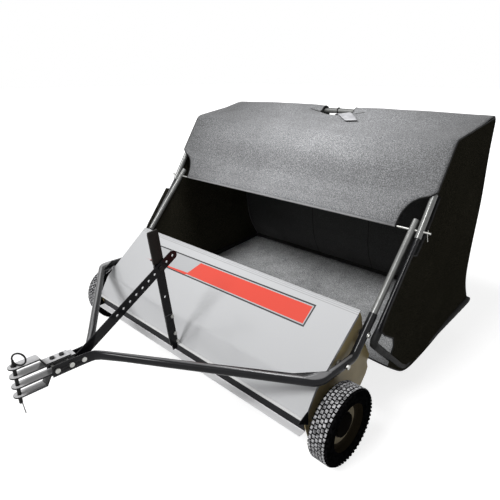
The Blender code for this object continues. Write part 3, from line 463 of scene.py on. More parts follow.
# Hamper bag: one strip of mesh cloth runs over the floor, back, top and flap, and two panels close
# the sides. The path gives y, z and bend radius, with the half width where the flap narrows.
bag = {
    "half": 0.7291, "cell": 0.015, "cloth": 0.0022,
    "path": (
        (0.1309, 0.222, 0.0), (0.272, 0.1246, 0.060), (0.9442, 0.1946, 0.020),
        (0.855, 0.3363, 0.10), (0.8209, 0.549, 0.20), (0.799, 0.9299, 0.12),
        (0.8093, 1.075, 0.024), (0.4543, 1.0162, 0.020), (0.3401, 0.8399, 0.02),
        (0.3341, 0.8295, 0.01, 0.713), (0.3277, 0.8181, 0.01, 0.676),
        (0.3153, 0.7964, 0.01, 0.646), (0.2956, 0.7615, 0.01, 0.625),
        (0.2773, 0.7293, 0.01, 0.620), (0.2678, 0.7126, 0.002, 0.620),
        (0.268, 0.707, 0.001, 0.620), (0.2724, 0.7036, 0.001, 0.620), (0.2779, 0.7047, 0.0, 0.620)),
    "panelEnd": 8,  # the point of the path where the side panels stop and the flap goes on alone
    "panelFront": (
        (0.3689, 0.822), (0.2949, 0.703), (0.2359, 0.632), (0.2019, 0.642), (0.1189, 0.532),
        (0.0689, 0.467), (0.0309, 0.408), (0.0619, 0.380), (0.1349, 0.338), (0.1499, 0.302),
        (0.1379, 0.255)),
    "panelCell": 0.0261, "panelCells": (40, 64), "panelEdge": 0.10,
    "belly": -0.013, "bellyReach": 0.16, "panelWave": 0.0050, "panelWrinkle": 0.0018,
    "handle": (-0.10, 0.084), "handleFront": 0.060, "handleRear": 0.095, "seams": (-0.251, 0.265),
    "softBends": {6: 0.030, 7: 0.120}, "softFrom": 0.52, "softRun": 0.17,
    "piping": 0.0030, "pipingInset": 0.001, "seamPiping": 0.0024, "openingPiping": 0.0026,
}

# How the strip leaves its path, outwards in metres, by its place across and along the cloth
drape = {
    "floorBelly": 0.014, "frontBelly": 0.010, "backBelly": 0.010,
    "bow": 0.018, "bowPower": 2.5, "bowWidth": 0.11,
    "topSags": ((0.20, 0.002), (0.50, 0.020), (0.80, 0.036), (1.0, 0.044)),
    "flapSags": ((0.20, 0.044), (0.50, 0.036), (1.08, 0.054), (1.38, 0.036), (1.62, 0.010),
                 (1.72, 0.0)),
    "tube": 0.0365, "tubeAndFold": 0.0865, "edgeFade": 0.06, "wave": 0.0040, "wrinkle": 0.0016,
    "handleDip": 0.038, "handleWide": 0.13, "handleLong": 0.035,
    "crease": 0.0028, "creaseWide": 0.010, "creaseFrom": 0.50, "creaseSlope": 0.9,
    "creaseRun": (0.02, 0.22), "seamDip": 0.0016, "seamWide": 0.006,
}


def clamp(value, low=0.0, high=1.0):
    return min(high, max(low, value))


def easeUp(value, start, end):
    share = clamp((value - start) / (end - start))
    return share * share * (3 - 2 * share)


def hump(value, low, high):
    return sin(pi * (value - low) / (high - low)) if low < value < high else 0.0


def bell(value, middle, width):
    return exp(-((value - middle) / width) ** 2)


def between(value, table):
    for (low, first), (high, last) in zip(table, table[1:]):
        if value <= high:
            return first + (last - first) * easeUp(value, low, high)
    return table[-1][1]


# Rows at even steps along the path, each with its length from the start
def filletPath(points, step):
    dense = []
    for index, (y, z, radius, half) in enumerate(points):
        here = Vector((y, z, half))
        if radius <= 0 or index in (0, len(points) - 1):
            dense.append(here)
            continue
        before, after = points[index - 1], points[index + 1]
        before, after = Vector((*before[:2], before[3])), Vector((*after[:2], after[3]))
        reach = min(radius, 0.45 * (before - here).length, 0.45 * (after - here).length)
        first = here + (before - here).normalized() * reach
        last = here + (after - here).normalized() * reach
        for part in range(9):
            t = part / 8
            dense.append(first * (1 - t) ** 2 + here * 2 * t * (1 - t) + last * t * t)
    along = [0.0]
    for a, b in zip(dense, dense[1:]):
        along.append(along[-1] + (b - a).to_2d().length)
    rows = max(2, round(along[-1] / step))
    path, place = [], 0
    for row in range(rows + 1):
        want = along[-1] * row / rows
        while place < len(along) - 2 and along[place + 1] < want:
            place += 1
        share = (want - along[place]) / max(along[place + 1] - along[place], 1e-9)
        path.append((dense[place].lerp(dense[place + 1], share), want))
    return path


tightPoints = [(y, z, bend, *(half or [bag["half"]])) for y, z, bend, *half in bag["path"]]
softPoints = [(y, z, bag["softBends"].get(index, bend), half)
              for index, (y, z, bend, half) in enumerate(tightPoints)]
wrapPath = filletPath(tightPoints, bag["cell"])
softPath = filletPath(softPoints, bag["cell"])  # away from the tubes the cloth bends wider
wrapLength = wrapPath[-1][1]


def arcOf(index):
    y, z = bag["path"][index][:2]
    return min(wrapPath, key=lambda spot: (spot[0].x - y) ** 2 + (spot[0].y - z) ** 2)[1]


bagArcs = {"floor": arcOf(1), "rear": arcOf(2), "top": arcOf(6), "middle": arcOf(7),
           "panelEnd": arcOf(bag["panelEnd"])}
panelEnd = next(row for row, spot in enumerate(wrapPath) if spot[1] >= bagArcs["panelEnd"])


def alongPath(path, share):
    place = clamp(share * (len(path) - 1), 0.0, len(path) - 1.000001)
    row = int(place)
    way = path[min(row + 2, len(path) - 1)][0] - path[max(row - 1, 0)][0]
    way = way.to_2d().normalized()
    return path[row][0].lerp(path[row + 1][0], place - row), Vector((way.y, -way.x))


def alongWrap(arc, loose):
    tight, outward = alongPath(wrapPath, arc / wrapLength)
    soft, softOutward = alongPath(softPath, arc / wrapLength)
    return tight.lerp(soft, loose), outward.lerp(softOutward, loose).normalized()


# How far the middle of the top and flap hangs in, by the length of cloth from the floor's hem
topRun, flapRun = bagArcs["middle"] - bagArcs["top"], bagArcs["panelEnd"] - bagArcs["middle"]
sagTable = [(bagArcs["top"], 0.0)]
sagTable += [(bagArcs["top"] + topRun * share, sag) for share, sag in drape["topSags"]]
sagTable += [(bagArcs["middle"] + flapRun * share, sag) for share, sag in drape["flapSags"]]


def wrapSag(x, arc, half):
    floor, rear, top = bagArcs["floor"], bagArcs["rear"], bagArcs["top"]
    inside = max(0.0, 1 - (x / half) ** 2)
    room = half - drape["tube"] - abs(x)
    out = drape["floorBelly"] * hump(arc, floor, rear) * inside
    out += drape["frontBelly"] * hump(arc, 0.0, floor) * inside
    out += drape["backBelly"] * hump(arc, rear, top) * inside
    out += drape["bow"] * (1 - abs(x) ** drape["bowPower"]) * bell(arc, top, drape["bowWidth"])
    if arc > top:
        reach = clamp(room / (half - drape["tubeAndFold"]))
        out -= between(arc, sagTable) * (1 - (1 - reach) ** 4)
    fromHem = wrapLength - arc
    loose = clamp(room / drape["edgeFade"]) * min(1.0, fromHem / drape["edgeFade"])
    out += drape["wave"] * noise.noise(Vector((x * 2.6, arc * 5.0, 3.1))) * loose
    out += drape["wrinkle"] * noise.noise(Vector((x * 9.0 + arc * 4, arc * 13.0, 7.7))) * loose
    front = top + bag["handleFront"]
    dip = bell(x, 0.0, drape["handleWide"]) * bell(arc, front, drape["handleLong"])
    out -= drape["handleDip"] * dip
    for side in (-1, 1):  # creases that run from the flap's lower corners
        slant = side * x - drape["creaseFrom"] + fromHem * drape["creaseSlope"]
        crease = bell(slant, 0.0, drape["creaseWide"]) * hump(fromHem, *drape["creaseRun"])
        out += drape["crease"] * crease
    for seam in bag["seams"]:
        out -= drape["seamDip"] * bell(x, seam, drape["seamWide"]) * (rear < arc < top)
    return out


# The place of the strip at a share of its half width, from -1 to 1, and at a length from its start
def bendWrap(share, arc):
    loose = 1 - clamp((abs(share) * bag["half"] - bag["softFrom"]) / bag["softRun"])
    spot, outward = alongWrap(arc, loose)
    place = spot.to_2d() + outward * wrapSag(share * spot.z, arc, spot.z)
    return Vector((share * spot.z, place.x, place.y))


def clothSurface(work, name, surface, flatOf, place):
    layer = work.loops.layers.uv.new("cloth")
    for face in work.faces:
        for loop in face.loops:
            loop[layer].uv = flatOf(loop.vert.co)
    for vert in work.verts:
        vert.co = place(vert.co)
    return addPiece(work, name, surface)


def thicken(piece, amount):
    solid = piece.modifiers.new("cloth", "SOLIDIFY")
    solid.thickness = amount
    solid.offset = 0.0
    solid.use_even_offset = False
    return piece


def bisect(work, place, way):
    bmesh.ops.bisect_plane(work, geom=wholeOf(work), dist=1e-5, plane_co=place, plane_no=way)


def makeWrap(surface):
    work = bmesh.new()
    columns = round(2 * bag["half"] / bag["cell"])
    bmesh.ops.create_grid(work, x_segments=columns, y_segments=len(wrapPath) - 1, size=1.0)
    bmesh.ops.scale(work, vec=(1, wrapLength / 2, 1), verts=work.verts)
    move(work, work.verts, (0, wrapLength / 2, 0))
    low, high = bagArcs["top"] - bag["handleRear"], bagArcs["top"] + bag["handleFront"]
    left, right = bag["handle"][0] / bag["half"], bag["handle"][1] / bag["half"]
    for place in (left, right):
        bisect(work, (place, 0, 0), (1, 0, 0))
    for place in (low, high):
        bisect(work, (0, place, 0), (0, 1, 0))
    inside = [face for face in work.faces if left < face.calc_center_median().x < right
              and low < face.calc_center_median().y < high]
    bmesh.ops.delete(work, geom=inside, context="FACES")
    bmesh.ops.reverse_faces(work, faces=work.faces)
    piece = clothSurface(work, "bagWrap", surface, lambda spot: (spot.x * bag["half"], spot.y),
                         lambda spot: bendWrap(spot.x, spot.y))
    return thicken(piece, bag["cloth"])


def flatDistance(spot, outline):
    nearest = 9.0
    for a, b in zip(outline, outline[1:] + outline[:1]):
        run = b - a
        share = clamp((spot - a).dot(run) / max(run.length_squared, 1e-12))
        nearest = min(nearest, (a + run * share - spot).length)
    return nearest


def offGrid(edge):
    run = edge.verts[0].co - edge.verts[1].co
    return len(edge.link_faces) == 2 and abs(run.x) > 1e-5 and abs(run.y) > 1e-5


def makePanel(name, side, surface):
    seam = [spot[0].to_2d() for spot in wrapPath[:panelEnd + 1]]
    outline = seam + [Vector(spot) for spot in bag["panelFront"]]
    work = bmesh.new()
    face = work.faces.new([work.verts.new((spot.x, spot.y, 0.0)) for spot in outline])
    face.normal_update()
    bmesh.ops.triangulate(work, faces=[face], ngon_method="EAR_CLIP")
    for way, count in zip((Vector((1, 0, 0)), Vector((0, 1, 0))), bag["panelCells"]):
        for cut in range(1, count):
            bisect(work, way * cut * bag["panelCell"], way)
    bmesh.ops.dissolve_limit(work, angle_limit=0.001, verts=[],
                             edges=[edge for edge in work.edges if offGrid(edge)])

    def place(spot):
        flat = spot.to_2d()
        inside = min(1.0, flatDistance(flat, seam) / bag["bellyReach"])
        loose = min(1.0, flatDistance(flat, outline) / bag["panelEdge"])
        wave = Vector((spot.x * 4.0, spot.y * 2.2, side * 5.3))
        wrinkle = Vector((spot.x * 12.0, spot.y * 9.0 + spot.x * 6, side * 9.1))
        out = bag["belly"] * inside * inside * (3 - 2 * inside) * loose
        out += bag["panelWave"] * noise.noise(wave) * inside
        out += bag["panelWrinkle"] * noise.noise(wrinkle) * inside
        return Vector((side * (bag["half"] + out), spot.x, spot.y))

    piece = clothSurface(work, name, surface, lambda spot: (spot.x, spot.y), place)
    return thicken(piece, bag["cloth"])


def roundTube(name, runs, radius, surface="binding", around=8):
    bent = bpy.data.curves.new(name, "CURVE")
    bent.dimensions = "3D"
    bent.bevel_depth = radius
    bent.bevel_resolution = max(0, around // 4 - 1)
    bent.use_fill_caps = True
    for run in runs:
        line = bent.splines.new("POLY")
        line.points.add(len(run) - 1)
        for point, spot in zip(line.points, run):
            point.co = (*spot, 1.0)
    guide = bpy.data.objects.new(name + "Guide", bent)
    scene.collection.objects.link(guide)
    depsgraph = bpy.context.evaluated_depsgraph_get()
    mesh = bpy.data.meshes.new_from_object(guide.evaluated_get(depsgraph))
    bpy.data.objects.remove(guide)
    mesh.name = name
    return addPiece(mesh, name, surface)


# Woven mesh cloth: crossing threads at their own pitch, painted glints where the weave would catch
# light, and dusty patches. The strip also has zones by the length from its start: ranges, edges and
# tones, with painted shade on the back and towards the ends, and a floor made paler by dust and
# painted light.
# The wrap's cloth: the same mesh as the side panels, painted paler as painted light
litClothLook = {
    "tones": ((0.050, 0.051, 0.053), (0.38, 0.385, 0.395)), "pitch": 0.0024, "fleck": 240.0,
    "specular": 0.3, "sheen": 0.15, "zoned": True}
# The side panels' cloth: the same mesh, painted darker as painted shade
shadedPanelLook = {
    "tones": ((0.010, 0.0095, 0.007), (0.085, 0.078, 0.056)), "pitch": 0.0024, "fleck": 300.0,
    "specular": 0.0, "sheen": 0.0}
weave = {
    "bandsPerUnit": 3.1831, "threads": 0.45, "flecks": 0.55, "fleckRange": (0.43, 0.66),
    "clouds": (0.3, 0.7, 0.75, 1.15), "rough": 0.72, "sheenRough": 0.45, "depth": 0.0006,
    "strength": 0.6}
# The back wall's tone and the darkened ends are painted shade, and the floor is made paler, partly
# by dust and partly by painted light
zones = {
    "back": (bagArcs["rear"], bagArcs["top"] - 0.01, 0.02), "backShade": 0.85,
    "backShadeTone": (0.012, 0.012, 0.011), "frontHem": (0.050, 0.062),
    "frontTone": (0.010, 0.010, 0.010), "flapHem": (wrapLength - 0.019, wrapLength - 0.007, 0.003),
    "flapTone": (0.40, 0.40, 0.41), "ends": (0.38, 0.70, 1.0, 0.78),
    "floor": (0.075, bagArcs["rear"] - 0.02, 0.012), "floorWear": (0.3, 0.7, 0.80, 1.12),
    "floorDustAndLightShare": 0.85, "floorDustAndLightGain": (3.1, 3.1, 3.06)}


def addZones(tree, tone, place, along):
    # painted shade over the back wall
    back = times(tree, stripe(tree, along, *zones["back"]), zones["backShade"])
    tone = paint(tree, tone, back, zones["backShadeTone"])
    frontHem = spread(tree, along, *zones["frontHem"], 1.0, 0.0)
    tone = paint(tree, tone, frontHem, zones["frontTone"])
    tone = paint(tree, tone, stripe(tree, along, *zones["flapHem"]), zones["flapTone"])
    # painted shade: the cloth is darker towards its left and right ends
    aside = calc(tree, "ABSOLUTE", axisOf(tree, place, 0))
    tone = mixColours(tree, 1.0, tone, spread(tree, aside, *zones["ends"]), "MULTIPLY")
    # the floor: worn patches, then painted paler, partly its dust and partly painted light
    floor = stripe(tree, along, *zones["floor"])
    worn = spread(tree, grain(tree, place, 13.0, 3.0, 0.6), *zones["floorWear"])
    tone = mixColours(tree, floor, tone, worn, "MULTIPLY")
    dustAndLight = times(tree, floor, zones["floorDustAndLightShare"])
    return paint(tree, tone, dustAndLight, zones["floorDustAndLightGain"], "MULTIPLY")


def makeCloth(name, look):
    material, tree, shader = newMaterial(name)
    flat = addNode(tree, "UVMap", {"uv_map": "cloth"}).outputs[0]
    place = objectSpace(tree)
    threads = []
    for direction in ("X", "Y"):
        bands = {"wave_type": "BANDS", "bands_direction": direction, "wave_profile": "SIN"}
        scale = 1 / look["pitch"] / weave["bandsPerUnit"]
        wave = addNode(tree, "TexWave", bands, Vector=flat, Scale=scale, Distortion=0.0)
        threads.append(wave.outputs["Fac"])
    crossed = times(tree, *threads)
    # painted glints: flecks lighten the weave where it would catch light
    flecks = spread(tree, grain(tree, place, look["fleck"], 2.0, 0.7), *weave["fleckRange"])
    clouds = spread(tree, grain(tree, place, 4.0, 3.0), *weave["clouds"])
    amount = plus(tree, times(tree, crossed, weave["threads"]),
                  times(tree, flecks, weave["flecks"]))
    tone = twoTone(tree, times(tree, amount, clouds), look)
    if "zoned" in look:
        tone = addZones(tree, tone, place, axisOf(tree, flat, 1))
    setInputs(tree, shader, {
        "Base Color": tone, "Roughness": weave["rough"], "Specular IOR Level": look["specular"],
        "Sheen Weight": look["sheen"], "Sheen Roughness": weave["sheenRough"]})
    bumpFrom(tree, shader, amount, weave["depth"], weave["strength"])
    return material


surfaces["litMeshCloth"] = makeCloth("litMeshCloth", litClothLook)
surfaces["shadedPanelCloth"] = makeCloth("shadedPanelCloth", shadedPanelLook)
bagPieces = {"wrap": makeWrap("litMeshCloth")}
for side, sign in (("Left", 1), ("Right", -1)):
    bagPieces[side] = makePanel("bagPanel" + side, sign, "shadedPanelCloth")

# Piping along the side seams, the flap's edges, the panels' fronts and the floor's hem
pipingRuns = [[(sign * bag["half"], spot.x, spot.y) for spot, arc in wrapPath[:panelEnd + 1]]
              for sign in (-1, 1)]
flapEdge = [(spot.z - bag["pipingInset"], arc) for spot, arc in wrapPath[panelEnd:]]
pipingRuns += [[(sign * x, *bendWrap(sign, arc).yz) for x, arc in flapEdge] for sign in (-1, 1)]
pipingRuns += [[(sign * bag["half"], *spot) for spot in bag["panelFront"]] for sign in (-1, 1)]
pipingRuns.append([bendWrap(step / 40 - 1, 0.0) for step in range(81)])
bagPieces["piping"] = roundTube("bagPiping", pipingRuns, bag["piping"])

backRun = bagArcs["top"] - bagArcs["rear"]
seamArcs = [bagArcs["rear"] + backRun * step / 60 for step in range(61)]
backRuns = [[bendWrap(seam, arc) for arc in seamArcs] for seam in bag["seams"]]
bagPieces["backSeams"] = roundTube("backSeams", backRuns, bag["seamPiping"])

left, right = bag["handle"]
low, high = bagArcs["top"] - bag["handleRear"], bagArcs["top"] + bag["handleFront"]
corners = [(left, low), (left, high), (right, high), (right, low)]
handleRun = []
for (x, arc), (nextX, nextArc) in zip(corners, corners[1:] + corners[:1]):
    handleRun += [bendWrap((x + (nextX - x) * t / 10) / bag["half"], arc + (nextArc - arc) * t / 10)
                  for t in range(10)]
handleRun.append(handleRun[0])
bagPieces["handleBinding"] = roundTube("handleBinding", [handleRun], bag["openingPiping"])

# A tie round the cross tube in the opening, and a blank tag sewn to the opening's front edge
tie = {
    "x": -0.020, "y": 0.7930, "z": 1.0637, "ring": 0.0146, "radius": 0.0024,
    "tail": ((0.0, 0.7800, 1.0580), (0.003, 0.7740, 1.0440), (0.006, 0.7690, 1.0330))}
turns = [step * pi / 12 for step in range(25)]
ring = [(tie["x"], tie["y"] + tie["ring"] * cos(turn), tie["z"] + tie["ring"] * sin(turn))
        for turn in turns]
tail = [(tie["x"] + out, y, z) for out, y, z in tie["tail"]]
bagPieces["tie"] = roundTube("handleTie", [ring, tail], tie["radius"])

tag = {
    "x": (0.006, 0.060, 0.122), "arc": (0.018, -0.012, 0.090), "lift": (0, -0.010, 0.008),
    "curl": 0.008, "thick": 0.0006}  # x and arc: start, change across the tag, change along it
work = bmesh.new()
bmesh.ops.create_grid(work, x_segments=6, y_segments=8, size=0.5)
for vert in work.verts:
    out, along = vert.co.x + 0.5, vert.co.y + 0.5
    x = tag["x"][0] + tag["x"][1] * out + tag["x"][2] * along
    arc = high + tag["arc"][0] + tag["arc"][1] * out + tag["arc"][2] * along
    curl = Vector((0, 0, tag["curl"] * sin(pi * along) * out))
    vert.co = bendWrap(x / bag["half"], arc) + Vector(tag["lift"]) + curl
bmesh.ops.recalc_face_normals(work, faces=work.faces)
bagPieces["tag"] = thicken(addPiece(work, "blankTag", "paleTag"), tag["thick"])

# The lower rear corners are drawn in, and the front hem hangs below its tubes
pull = {
    "rearIn": 0.027, "rearForward": 0.014, "rearY": (0.35, 0.92), "rearZ": (-0.80, -0.25),
    "hemIn": 0.010, "hemDown": 0.012, "hemY": (-0.42, -0.16), "hemZ": (-0.42, -0.20)}
for piece in bagPieces.values():
    for vert in piece.data.vertices:
        spot = vert.co
        rear = easeUp(spot.y, *pull["rearY"]) * easeUp(-spot.z, *pull["rearZ"])
        hem = easeUp(-spot.y, *pull["hemY"]) * easeUp(-spot.z, *pull["hemZ"])
        spot.x *= 1 - pull["rearIn"] * rear - pull["hemIn"] * hem
        spot.y -= pull["rearForward"] * rear
        spot.z -= pull["hemDown"] * hem
    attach(piece, "hamper")
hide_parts("hamper_bag")
print("bag sewn:", round(wrapLength, 3), "m round")

# Sleeves: the lower frame tube runs in a sewn sleeve, bare only near the rod; side gives y and z
sleeve = {
    "x": 0.714, "radius": 0.0143, "corner": 0.03, "step": 0.012,
    "ruffle": 0.0012, "rufflePitch": 55.0,
    "side": ((0.2079, 0.604), (0.1499, 0.532), (0.0999, 0.467), (0.0490, 0.402), (0.0180, 0.372),
             (0.0200, 0.352), (0.0600, 0.318), (0.150, 0.240), (0.245, 0.158), (0.282, 0.1385),
             (0.330, 0.1413), (0.55, 0.1642), (0.78, 0.1881), (0.9239, 0.2045))}


def sleeveRun(side):
    points = [Vector((side * sleeve["x"], *spot)) for spot in sleeve["side"]]
    points.append(Vector((side * (sleeve["x"] - sleeve["corner"]), *sleeve["side"][-1])))
    points.append(Vector((0, *sleeve["side"][-1])))
    run = []
    for a, b in zip(points, points[1:]):
        steps = max(1, round((b - a).length / sleeve["step"]))
        run += [a.lerp(b, step / steps) for step in range(steps)]
    return run + [points[-1]]


for side, sign in (("Left", 1), ("Right", -1)):
    cover = roundTube("tubeSleeve" + side, [sleeveRun(sign)], sleeve["radius"], around=16)
    for vert in cover.data.vertices:
        swell = sleeve["ruffle"] * noise.noise(vert.co * sleeve["rufflePitch"])
        vert.co += vert.normal * swell
    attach(cover, "hamper")

# Wheels: each tyre gets a tread of staggered blocks round a carcass that is spun from its section
wheel = {
    "middle": 0.7265, "blocks": 52, "steps": 96,
    "columns": (  # across from the middle, width, and shift round in blocks
        (-0.0262, 0.0085, 0.0), (-0.0131, 0.0100, 0.5), (0.0, 0.0100, 0.0),
        (0.0131, 0.0100, 0.5), (0.0262, 0.0085, 0.0)),
    "long": 0.0118, "high": 0.0088, "blockAt": 0.1362, "turn": 0.14, "chamfer": 0.0009,
    "tick": (0.0056, 0.0070, 0.0060), "tickAcross": 0.0345, "tickAt": 0.1334, "tickLean": 0.85,
    "tickChamfer": 0.0008,
    "section": (  # x and radius, from the inner bead round the tread and back
        (0.688, 0.0962), (0.7573, 0.0962), (0.7573, 0.0885), (0.7600, 0.0875), (0.7632, 0.0905),
        (0.7662, 0.0970), (0.7670, 0.1040), (0.7666, 0.1150), (0.7655, 0.1240), (0.7620, 0.1310),
        (0.7560, 0.1356), (0.7470, 0.1368), (0.7265, 0.1370), (0.7060, 0.1368), (0.6970, 0.1356),
        (0.6910, 0.1310), (0.6874, 0.1240), (0.6862, 0.1130), (0.6862, 0.1030), (0.6880, 0.0975)),
}


def finishPiece(work, name, surface, sharp=35.0):
    bmesh.ops.remove_doubles(work, verts=work.verts, dist=1e-6)
    bmesh.ops.recalc_face_normals(work, faces=work.faces)
    return addPiece(work, name, surface, sharp=sharp)


# Bevels the edges above a height, and gives back every vert of the shape
def bevelTop(work, made, above, offset, segments):
    edges = {edge for vert in made for edge in vert.link_edges}
    top = [edge for edge in edges if min(vert.co.z for vert in edge.verts) > above]
    cut = bmesh.ops.bevel(work, geom=top, offset=offset, offset_type="OFFSET", segments=segments,
                          profile=0.5, affect="EDGES", material=-1)
    kept = {vert for vert in made if vert.is_valid}
    return list(kept | {vert for face in cut["faces"] for vert in face.verts})


def addBlock(work, size, chamfer):
    made = bmesh.ops.create_cube(work, size=1.0)["verts"]
    bmesh.ops.scale(work, vec=size, verts=made)
    return bevelTop(work, made, 0.0, chamfer, 1)


def makeTyre(name, side):
    work = bmesh.new()
    step = 2 * pi / wheel["blocks"]
    for across, wide, shift in wheel["columns"]:
        made = addBlock(work, (wide, wheel["long"], wheel["high"]), wheel["chamfer"])
        turnAbout(work, made, wheel["turn"] * (1 if shift else -1), "Z")
        move(work, made, (wheel["middle"] + across, 0, wheel["blockAt"]))
        turnAbout(work, made, step * shift, "X")
    for sign in (-1, 1):  # shoulder ticks lean down the side
        made = addBlock(work, wheel["tick"], wheel["tickChamfer"])
        turnAbout(work, made, sign * wheel["tickLean"], "Y")
        move(work, made, (wheel["middle"] + sign * wheel["tickAcross"], 0, wheel["tickAt"]))
        turnAbout(work, made, step / 2, "X")
    turns = wheel["blocks"] - 1
    bmesh.ops.spin(work, geom=wholeOf(work), cent=(0, 0, 0), axis=(1, 0, 0), use_duplicate=True,
                   angle=step * turns, steps=turns)
    verts = [work.verts.new((x, 0, radius)) for x, radius in wheel["section"]]
    edges = [work.edges.new(pair) for pair in zip(verts, verts[1:] + verts[:1])]
    bmesh.ops.spin(work, geom=verts + edges, cent=(0, 0, 0), axis=(1, 0, 0), angle=2 * pi,
                   steps=wheel["steps"], use_merge=True)
    bmesh.ops.scale(work, vec=(side, 1, 1), verts=work.verts)
    move(work, work.verts, wheelCentre)
    return finishPiece(work, name, "tyreRubber")


for side, sign in (("left", 1), ("right", -1)):
    tyre = makeTyre("treadedTyre" + side.capitalize(), sign)
    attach(tyre, "wheel_" + side)
    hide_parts("tyre_" + side)
print("tyres moulded")

# Brush: each row is a line of splayed tufts set in the core
brush = {
    "rows": 6, "firstRow": 10, "root": 0.0195, "tip": 0.1445, "half": 0.619, "tufts": 60,
    "hairs": 11, "hair": 0.0011, "spiral": 2.4, "uneven": 0.05, "short": 0.01, "rootX": 0.0022,
    "rootY": 0.0018, "splay": 0.0058}


def makeBristles(number):
    work = bmesh.new()
    pitch = 2 * brush["half"] / brush["tufts"]
    reach = brush["tip"] - brush["root"]
    for hair in range(brush["hairs"]):
        turn = hair * brush["spiral"]
        lean = Vector((cos(turn), sin(turn))) * (hair / brush["hairs"]) ** 0.5
        uneven = brush["uneven"] * noise.noise(Vector((hair * 3.3, number, 0.5)))
        length = reach * (1 - uneven - brush["short"])
        made = bmesh.ops.create_cone(work, cap_ends=True, segments=4, radius1=brush["hair"] * 0.8,
                                     radius2=brush["hair"], depth=length)["verts"]
        move(work, made, (0, 0, brush["root"] + length / 2))
        for vert in made:
            far = (vert.co.z - brush["root"]) / reach
            along = lean.x * (brush["rootX"] + far * (pitch * 0.5 - brush["rootX"]))
            vert.co += Vector((along, lean.y * (brush["rootY"] + far * brush["splay"]), 0))
    angle = 2 * pi * (number - 1) / brush["rows"] + radians(brush["firstRow"])
    move(work, work.verts, (pitch / 2 - brush["half"], 0, 0))
    turnAbout(work, work.verts, angle - pi / 2, "X")
    move(work, work.verts, brushCentre)
    piece = finishPiece(work, f"bristles{number}", "bristleFibre")
    row = piece.modifiers.new("row", "ARRAY")
    row.use_relative_offset, row.use_constant_offset = False, True
    row.constant_offset_displace = (pitch, 0, 0)
    row.count = brush["tufts"]
    return piece


for number in range(1, brush["rows"] + 1):
    bristles = makeBristles(number)
    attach(bristles, "brush")
    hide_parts(f"bristle_row_{number}")
print("brush filled")

# Metalwork: copies of the frame's parts with rounded edges and smooth tubes
bodies = frame["record"]["behaviour"]["bodies"]
bodyOf = {node: name for name, members in bodies.items() for node in members}
crossTube = {"above": 1.0, "half": 0.66, "bow": 0.0064}  # the bag's cross tube bows up slightly


# The reach and the lowest height let a rod end flush with its plates and a bracket stay inside
def soften(node, surface, width=0.0007, sharp=38.0, rounds=0, reach=9.0, lowest=-9.0):
    work = bmesh.new()
    work.from_mesh(nodes[node].data)
    bmesh.ops.remove_doubles(work, verts=work.verts, dist=2e-6)
    bmesh.ops.dissolve_limit(work, angle_limit=0.01, verts=work.verts, edges=work.edges,
                             use_dissolve_boundaries=False)
    if rounds:
        crease = work.edges.layers.float.new("crease_edge")
        for edge in work.edges:
            if len(edge.link_faces) == 2 and edge.calc_face_angle() > radians(sharp):
                edge[crease] = 1.0
    for vert in work.verts:
        vert.co.x = clamp(vert.co.x, -reach, reach)
        vert.co.z = max(lowest, vert.co.z)
        if vert.co.z > crossTube["above"]:
            vert.co.z += crossTube["bow"] * max(0.0, 1 - (vert.co.x / crossTube["half"]) ** 2)
    piece = addPiece(work, node + "Soft", surface, sharp=sharp)
    if rounds:
        fine = piece.modifiers.new("fine", "SUBSURF")
        fine.levels = fine.render_levels = rounds
    else:
        edge = piece.modifiers.new("edges", "BEVEL")
        edge.width, edge.segments = width, 2
        edge.limit_method, edge.angle_limit = "ANGLE", radians(sharp)
        edge.use_clamp_overlap = True
        edge.harden_normals = True
    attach(piece, bodyOf[node])
    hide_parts(node)


for node in bothSides("tow_tube", "arm_tube"):
    soften(node, "blackEnamel", rounds=1)
for node in bothSides("support_tube", "hamper_upper"):
    soften(node, "greyTube", rounds=1)
for node in bothSides("hamper_lower"):
    soften(node, "blackEnamel", rounds=1)
soften("mast_bracket", "blackEnamel", 0.0005, lowest=0.166)
for node in ("height_strap", "lever_mast"):
    soften(node, "blackEnamel", 0.0008)
for node in bothSides("corner_gusset"):
    soften(node, "blackEnamel", 0.0005)
for node in hitchPlates:
    soften(node, "hitchEnamel", 0.0008)
soften("front_channel", "channelEnamel", 0.0005)
soften("lever_grip", "gripRubber", 0.0013)
for node in bothSides("side_plate"):
    soften(node, "sideSteel", 0.0004)
soften("rear_tie_rod", "sideSteel", 0.0003, reach=0.6588)
soften("hood", "hoodEnamel", 0.0004, 30.0)
print("metalwork softened")

# Fasteners that the frame leaves out: hexagon bolts with washers. Each has its place, the way that
# it points across (0 is up), and the size and height of its head.
fasteners = {
    "housing": [((-0.0030, -0.3195, 0.322), 1, 0.0062, 0.004),
                ((-0.0030, -0.3105, 0.240), 1, 0.0062, 0.004),
                ((-0.0030, -0.3005, 0.200), 1, 0.0062, 0.004)],
    "tow_frame": [((0.0, -0.7846, 0.3165), 0, 0.0065, 0.004),
                  ((0.0, -0.7366, 0.3165), 0, 0.0065, 0.004)],
}
pivot = {"outer": 0.6980, "inner": 0.6660, "place": (0.0019, 0.392), "size": (0.0080, 0.005)}
bearing = {"x": 0.6585, "ring": 0.034, "turns": (30, 150, 270), "size": (0.0050, 0.003)}
bolt = {"washer": 0.0016, "washerFoot": 1.35, "washerTop": 1.3, "rim": 0.9, "rounding": 0.14}
for sign in (-1, 1):
    for x, way in ((pivot["outer"], sign), (pivot["inner"], -sign)):
        fasteners["tow_frame"].append(((sign * x, *pivot["place"]), way, *pivot["size"]))
    for turn in map(radians, bearing["turns"]):
        y = brushCentre[1] + bearing["ring"] * cos(turn)
        z = brushCentre[2] + bearing["ring"] * sin(turn)
        fasteners["housing"].append(((sign * bearing["x"], y, z), sign, *bearing["size"]))


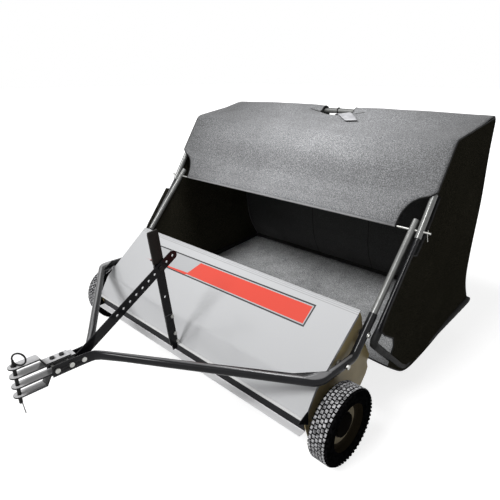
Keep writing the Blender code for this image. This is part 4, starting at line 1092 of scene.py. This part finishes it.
def addBolt(work, place, way, size, height):
    thick = bolt["washer"]
    washer = bmesh.ops.create_cone(work, cap_ends=True, segments=20, depth=thick,
                                   radius1=size * bolt["washerFoot"],
                                   radius2=size * bolt["washerTop"])["verts"]
    move(work, washer, (0, 0, thick / 2))
    head = bmesh.ops.create_cone(work, cap_ends=True, segments=6, depth=height,
                                 radius1=size, radius2=size)["verts"]
    move(work, head, (0, 0, thick + height / 2))
    rim = thick + height * bolt["rim"]
    made = washer + bevelTop(work, head, rim, size * bolt["rounding"], 2)
    turnAbout(work, made, pi / 2 * way, "Y")
    move(work, made, place)


for carrier, bolts in fasteners.items():
    work = bmesh.new()
    for place, way, size, height in bolts:
        addBolt(work, place, way, size, height)
    piece = finishPiece(work, carrier + "Bolts", "zincPlate", 30.0)
    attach(piece, carrier)

# Height knob: a moulded knob with five lobes, bridged from rings of depth, radius and lobe share
knob = {
    "x": -0.0128, "y": -0.3606, "z": 0.548, "lobes": 5, "lobe": 0.0022,
    "rings": ((0.0, 0.0095, 0.0), (0.003, 0.0130, 0.6), (0.005, 0.0138, 1.0),
              (0.015, 0.0138, 1.0), (0.0185, 0.0125, 0.7), (0.0205, 0.0080, 0.2))}
work = bmesh.new()
loops = []
for depth, radius, share in knob["rings"]:
    made = bmesh.ops.create_circle(work, cap_ends=False, segments=40, radius=1.0)["verts"]
    for vert in made:
        turn = atan2(vert.co.y, vert.co.x)
        reach = radius + knob["lobe"] * share * cos(knob["lobes"] * turn)
        y, z = knob["y"] + reach * cos(turn), knob["z"] + reach * sin(turn)
        vert.co = Vector((knob["x"] - depth, y, z))
    loops.append(list({edge for vert in made for edge in vert.link_edges}))
for first, last in zip(loops, loops[1:]):
    bmesh.ops.bridge_loops(work, edges=first + last)
for loop in (loops[0], loops[-1]):
    bmesh.ops.edgeloop_fill(work, edges=loop)
knobPiece = finishPiece(work, "lobedKnob", "capPlastic", 40.0)
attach(knobPiece, "height_knob")
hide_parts("height_knob")
print("fasteners and knob fitted")
